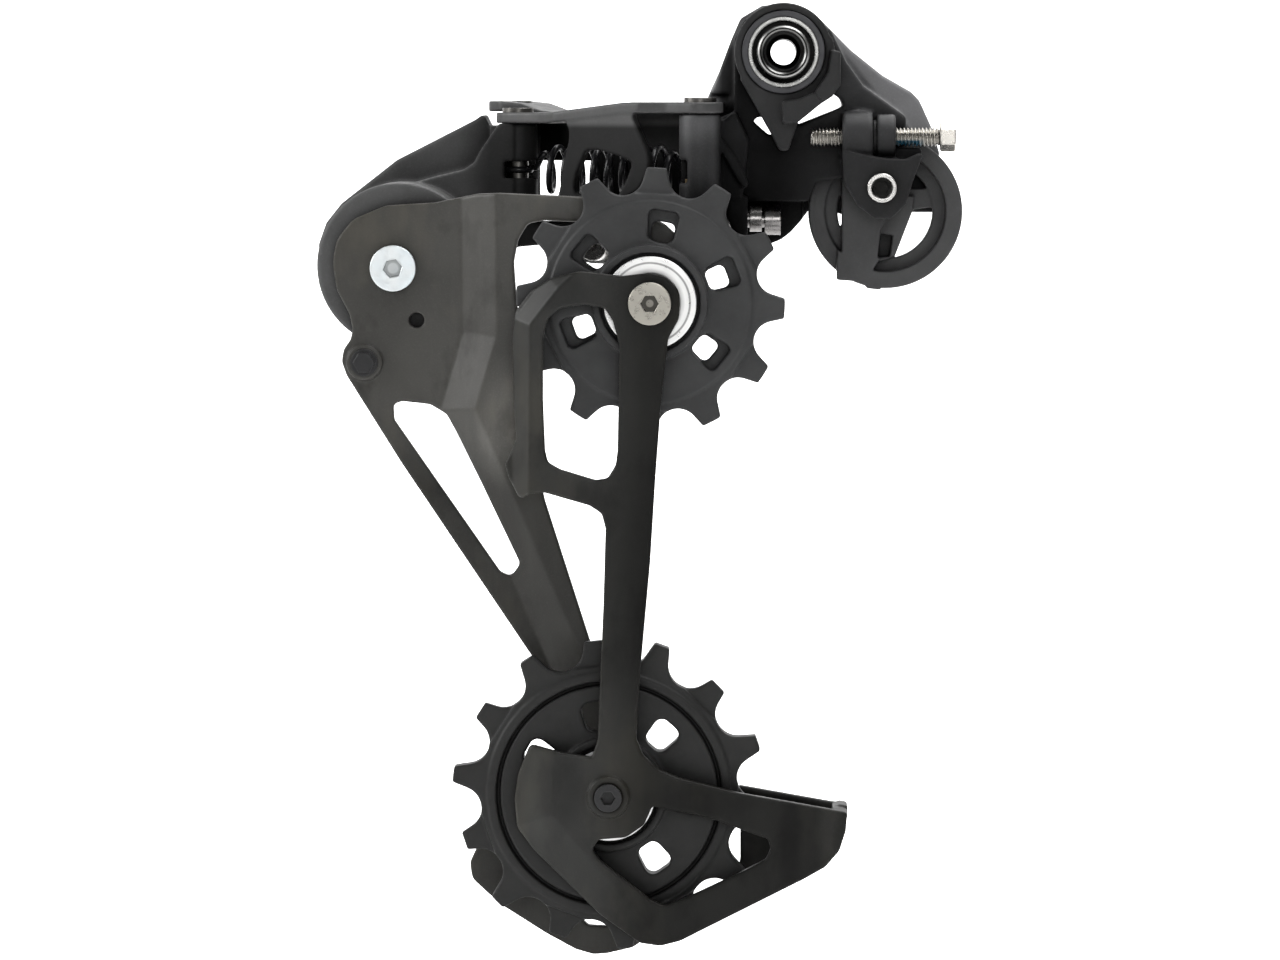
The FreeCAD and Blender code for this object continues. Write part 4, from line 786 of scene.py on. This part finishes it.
# ------------------------------------------------------------------ hanger adjusting screw, mm
def paint_compound(material, centre, half_size, softness, colour):
    """Soft-edged patch of dried thread compound; centre and sizes are (x, z)."""
    tree = material.node_tree
    shader = tree.nodes["Principled BSDF"]
    mask = None
    for axis, middle, half, soft in zip("XZ", centre, half_size, softness):
        rise = along(tree, axis, middle - half - soft, middle - half + soft, 0.0, 1.0)
        fall = along(tree, axis, middle + half - soft, middle + half + soft, 1.0, 0.0)
        band = calculate(tree, "MULTIPLY", rise, fall)
        mask = band if mask is None else calculate(tree, "MULTIPLY", mask, band)
    broken = remap(tree, noise(tree, scale=900.0), to=(0.35, 1.0), span=(0.3, 0.5))
    mask = calculate(tree, "MULTIPLY", mask, broken)
    bare = shader.inputs["Base Color"].links[0].from_socket
    tree.links.new(mix_colour(tree, mask, bare, colour), shader.inputs["Base Color"])
    metallic = remap(tree, mask, to=(1.0, 0.15), span=(0.0, 0.6))
    tree.links.new(metallic, shader.inputs["Metallic"])


def build_adjust_screw():
    low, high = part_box("b_adjust_screw")
    tip = (low.x * 1000, middle_mm(low.y, high.y), middle_mm(low.z, high.z))
    axis = (1, 0, 0)
    paint_compound(
        MATERIALS["stainless_screw"], centre=(tip[0] + 18.6, tip[2] - 1.35),
        half_size=(2.6, 0.75), softness=(0.5, 0.25), colour=(0.012, 0.075, 0.12),
    )
    shape = merge(
        thread(tip, axis, radius=1.80, depth=0.40, pitch=0.7, length=24.6, taper=0.6,
               seg=40, rows_per_turn=10),
        hex_head(tip, axis, radius=2.74, bottom=24.5, top=27.5, turn=math.pi / 6,
                 chamfer=0.35, seg=48),
    )
    add_piece(
        "hanger_adjust_screw_threaded", shape, "stainless_screw",
        replaces=("b_adjust_screw",), body="hanger_screw",
    )


build_adjust_screw()

# ------------------------------------------------------------------ mounting bolt, mm
BOLT_FREE_END = -8.98  # y
BOLT_SEG = 96
# inside and head of the bolt, as (radius, y); the bore's thread goes between the two parts
BOLT_COUNTERBORE = [(4.45, BOLT_FREE_END), (3.8, -8.45), (3.75, -7.6)]
BOLT_BORE_AND_HEAD = [
    (2.45, -1.6), (2.42, 24.15), (3.2, 24.2), (7.6, 24.2), (8.18, 23.7), (8.18, 21.4),
    (7.9, 21.02), (4.4, 21.02), (4.4, -0.06), (4.45, -0.06),
]
BORE_THREAD_START, BORE_THREAD_END = -7.5, -2.2  # y
BORE_THREAD_PITCH = 0.8
BORE_CREST_RADIUS, BORE_ROOT_RADIUS = 3.15, 3.55


def build_mounting_bolt():
    """Thread on the free end; ridged drain bore behind a counterbore."""
    ridges = []
    y = BORE_THREAD_START
    while y < BORE_THREAD_END:
        ridges += [(BORE_CREST_RADIUS, y), (BORE_ROOT_RADIUS, y + BORE_THREAD_PITCH / 2)]
        y += BORE_THREAD_PITCH
    axis = (0, 1, 0)
    shape = merge(
        thread((0, BOLT_FREE_END, 0), axis, radius=4.98, depth=0.52, pitch=1.0, length=8.95,
               taper=0.5, seg=BOLT_SEG, rows_per_turn=12, bore=4.44),
        lathe(BOLT_COUNTERBORE + ridges + BOLT_BORE_AND_HEAD, (0, 0, 0), axis, seg=BOLT_SEG),
    )
    add_piece(
        "mounting_bolt_threaded", shape, "mounting_bolt_alloy",
        replaces=("mounting_bolt",), body="mount",
    )


build_mounting_bolt()

# ------------------------------------------------------------------ stage, metres
STUDIO_GLOW = 0.12  # light given off by the sweep and the world; the camera sees them at 1
SWEEP_HALF_WIDTH = 1.2
SWEEP_FRONT_Y = -0.9
SWEEP_FLOOR_Z = -0.178
SWEEP_TOP_Z = 1.1
SWEEP_BEND_Y = 0.35
SWEEP_BEND_RADIUS = 0.25
SWEEP_BEND_STEPS = 16


def studio_glow(tree):
    """1 for camera rays, STUDIO_GLOW for the rest."""
    is_camera = node(tree, "LightPath").outputs["Is Camera Ray"]
    return remap(tree, is_camera, to=(STUDIO_GLOW, 1.0), span=(0.0, 1.0))


def sweep_material():
    tree, shader = new_material("sweep_pale")
    pale = grey(0.92)
    mottle = remap(tree, noise(tree, scale=30.0, detail=2.0))
    colour = mix_colour(tree, mottle, shade(pale, 0.995), pale)
    tree.links.new(colour, shader.inputs["Base Color"])
    shader.inputs["Roughness"].default_value = 0.9
    shader.inputs["Specular IOR Level"].default_value = 0.1
    shader.inputs["Emission Color"].default_value = (1, 1, 1, 1)
    tree.links.new(studio_glow(tree), shader.inputs["Emission Strength"])
    # seen from its back the sweep lets the view through
    back = node(tree, "NewGeometry").outputs["Backfacing"]
    clear = node(tree, "BsdfTransparent").outputs[0]
    mixed = node(tree, "MixShader", {0: back, 1: shader.outputs[0], 2: clear})
    tree.links.new(mixed.outputs[0], tree.nodes["Material Output"].inputs["Surface"])
    return MATERIALS["sweep_pale"]


def build_sweep():
    """Floor that bends up into a back wall."""
    profile = [(SWEEP_FRONT_Y, SWEEP_FLOOR_Z)]
    bend_z = SWEEP_FLOOR_Z + SWEEP_BEND_RADIUS
    for k in range(SWEEP_BEND_STEPS + 1):
        angle = -math.pi / 2 + (math.pi / 2) * k / SWEEP_BEND_STEPS
        profile.append((SWEEP_BEND_Y + SWEEP_BEND_RADIUS * math.cos(angle),
                        bend_z + SWEEP_BEND_RADIUS * math.sin(angle)))
    profile.append((SWEEP_BEND_Y + SWEEP_BEND_RADIUS, SWEEP_TOP_Z))
    verts = [(x, y, z) for y, z in profile for x in (-SWEEP_HALF_WIDTH, SWEEP_HALF_WIDTH)]
    faces = [(2 * i, 2 * i + 1, 2 * i + 3, 2 * i + 2) for i in range(len(profile) - 1)]
    mesh = bpy.data.meshes.new("studio_sweep")
    mesh.from_pydata(verts, [], faces)
    mesh.polygons.foreach_set("use_smooth", [True] * len(mesh.polygons))
    sweep = add_object("studio_sweep", mesh)
    mesh.materials.append(sweep_material())
    sweep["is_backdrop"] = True


build_sweep()


# ------------------------------------------------------------------ lights, world, camera
def aim(made, place, target):
    made.location = place
    made.rotation_euler = (target - place).to_track_quat("-Z", "Y").to_euler()


LIGHT_TARGET = Vector((-0.03, 0.0, -0.08))
# name, place, side of the square, power in watts
LIGHTS = (
    ("key_left", (-0.90, -0.20, 0.32), 0.55, 7.0),
    ("top_right", (0.34, -0.06, 0.80), 0.6, 8.0),
    ("top_back", (0.0, 0.35, 0.75), 0.7, 4.0),
    ("front_panel", (0.06, -1.0, 0.16), 0.26, 1.45),
)
for name, place, side, power in LIGHTS:
    light = bpy.data.lights.new(name, "AREA")
    light.shape = "RECTANGLE"
    light.size = side
    light.size_y = side
    light.energy = power
    aim(add_object(name, light), Vector(place), LIGHT_TARGET)


def build_world():
    world = bpy.data.worlds.new("studio")
    bpy.context.scene.world = world
    world.use_nodes = True
    tree = world.node_tree
    tree.nodes.clear()
    output = node(tree, "OutputWorld")
    background = node(tree, "Background", {0: (1, 1, 1, 1), 1: STUDIO_GLOW})
    tree.links.new(studio_glow(tree), background.inputs[1])
    tree.links.new(background.outputs[0], output.inputs[0])


build_world()

CAMERA_PLACE = Vector((-4.31621657, -1012.0, -6.98991247)) * MM
CAMERA_TARGET = Vector((-26.957726, -12.0, -80.57481813)) * MM


def build_camera():
    lens = bpy.data.cameras.new("camera")
    lens.sensor_width = 36.0
    lens.lens = 149.50362
    lens.clip_start = 0.05
    lens.clip_end = 10.0
    camera = add_object("camera", lens)
    aim(camera, CAMERA_PLACE, CAMERA_TARGET)
    bpy.context.scene.camera = camera


build_camera()
bpy.context.scene.view_settings.view_transform = "Standard"
bpy.context.scene.view_settings.look = "None"

size_report["before_finish"] = plain(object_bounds())
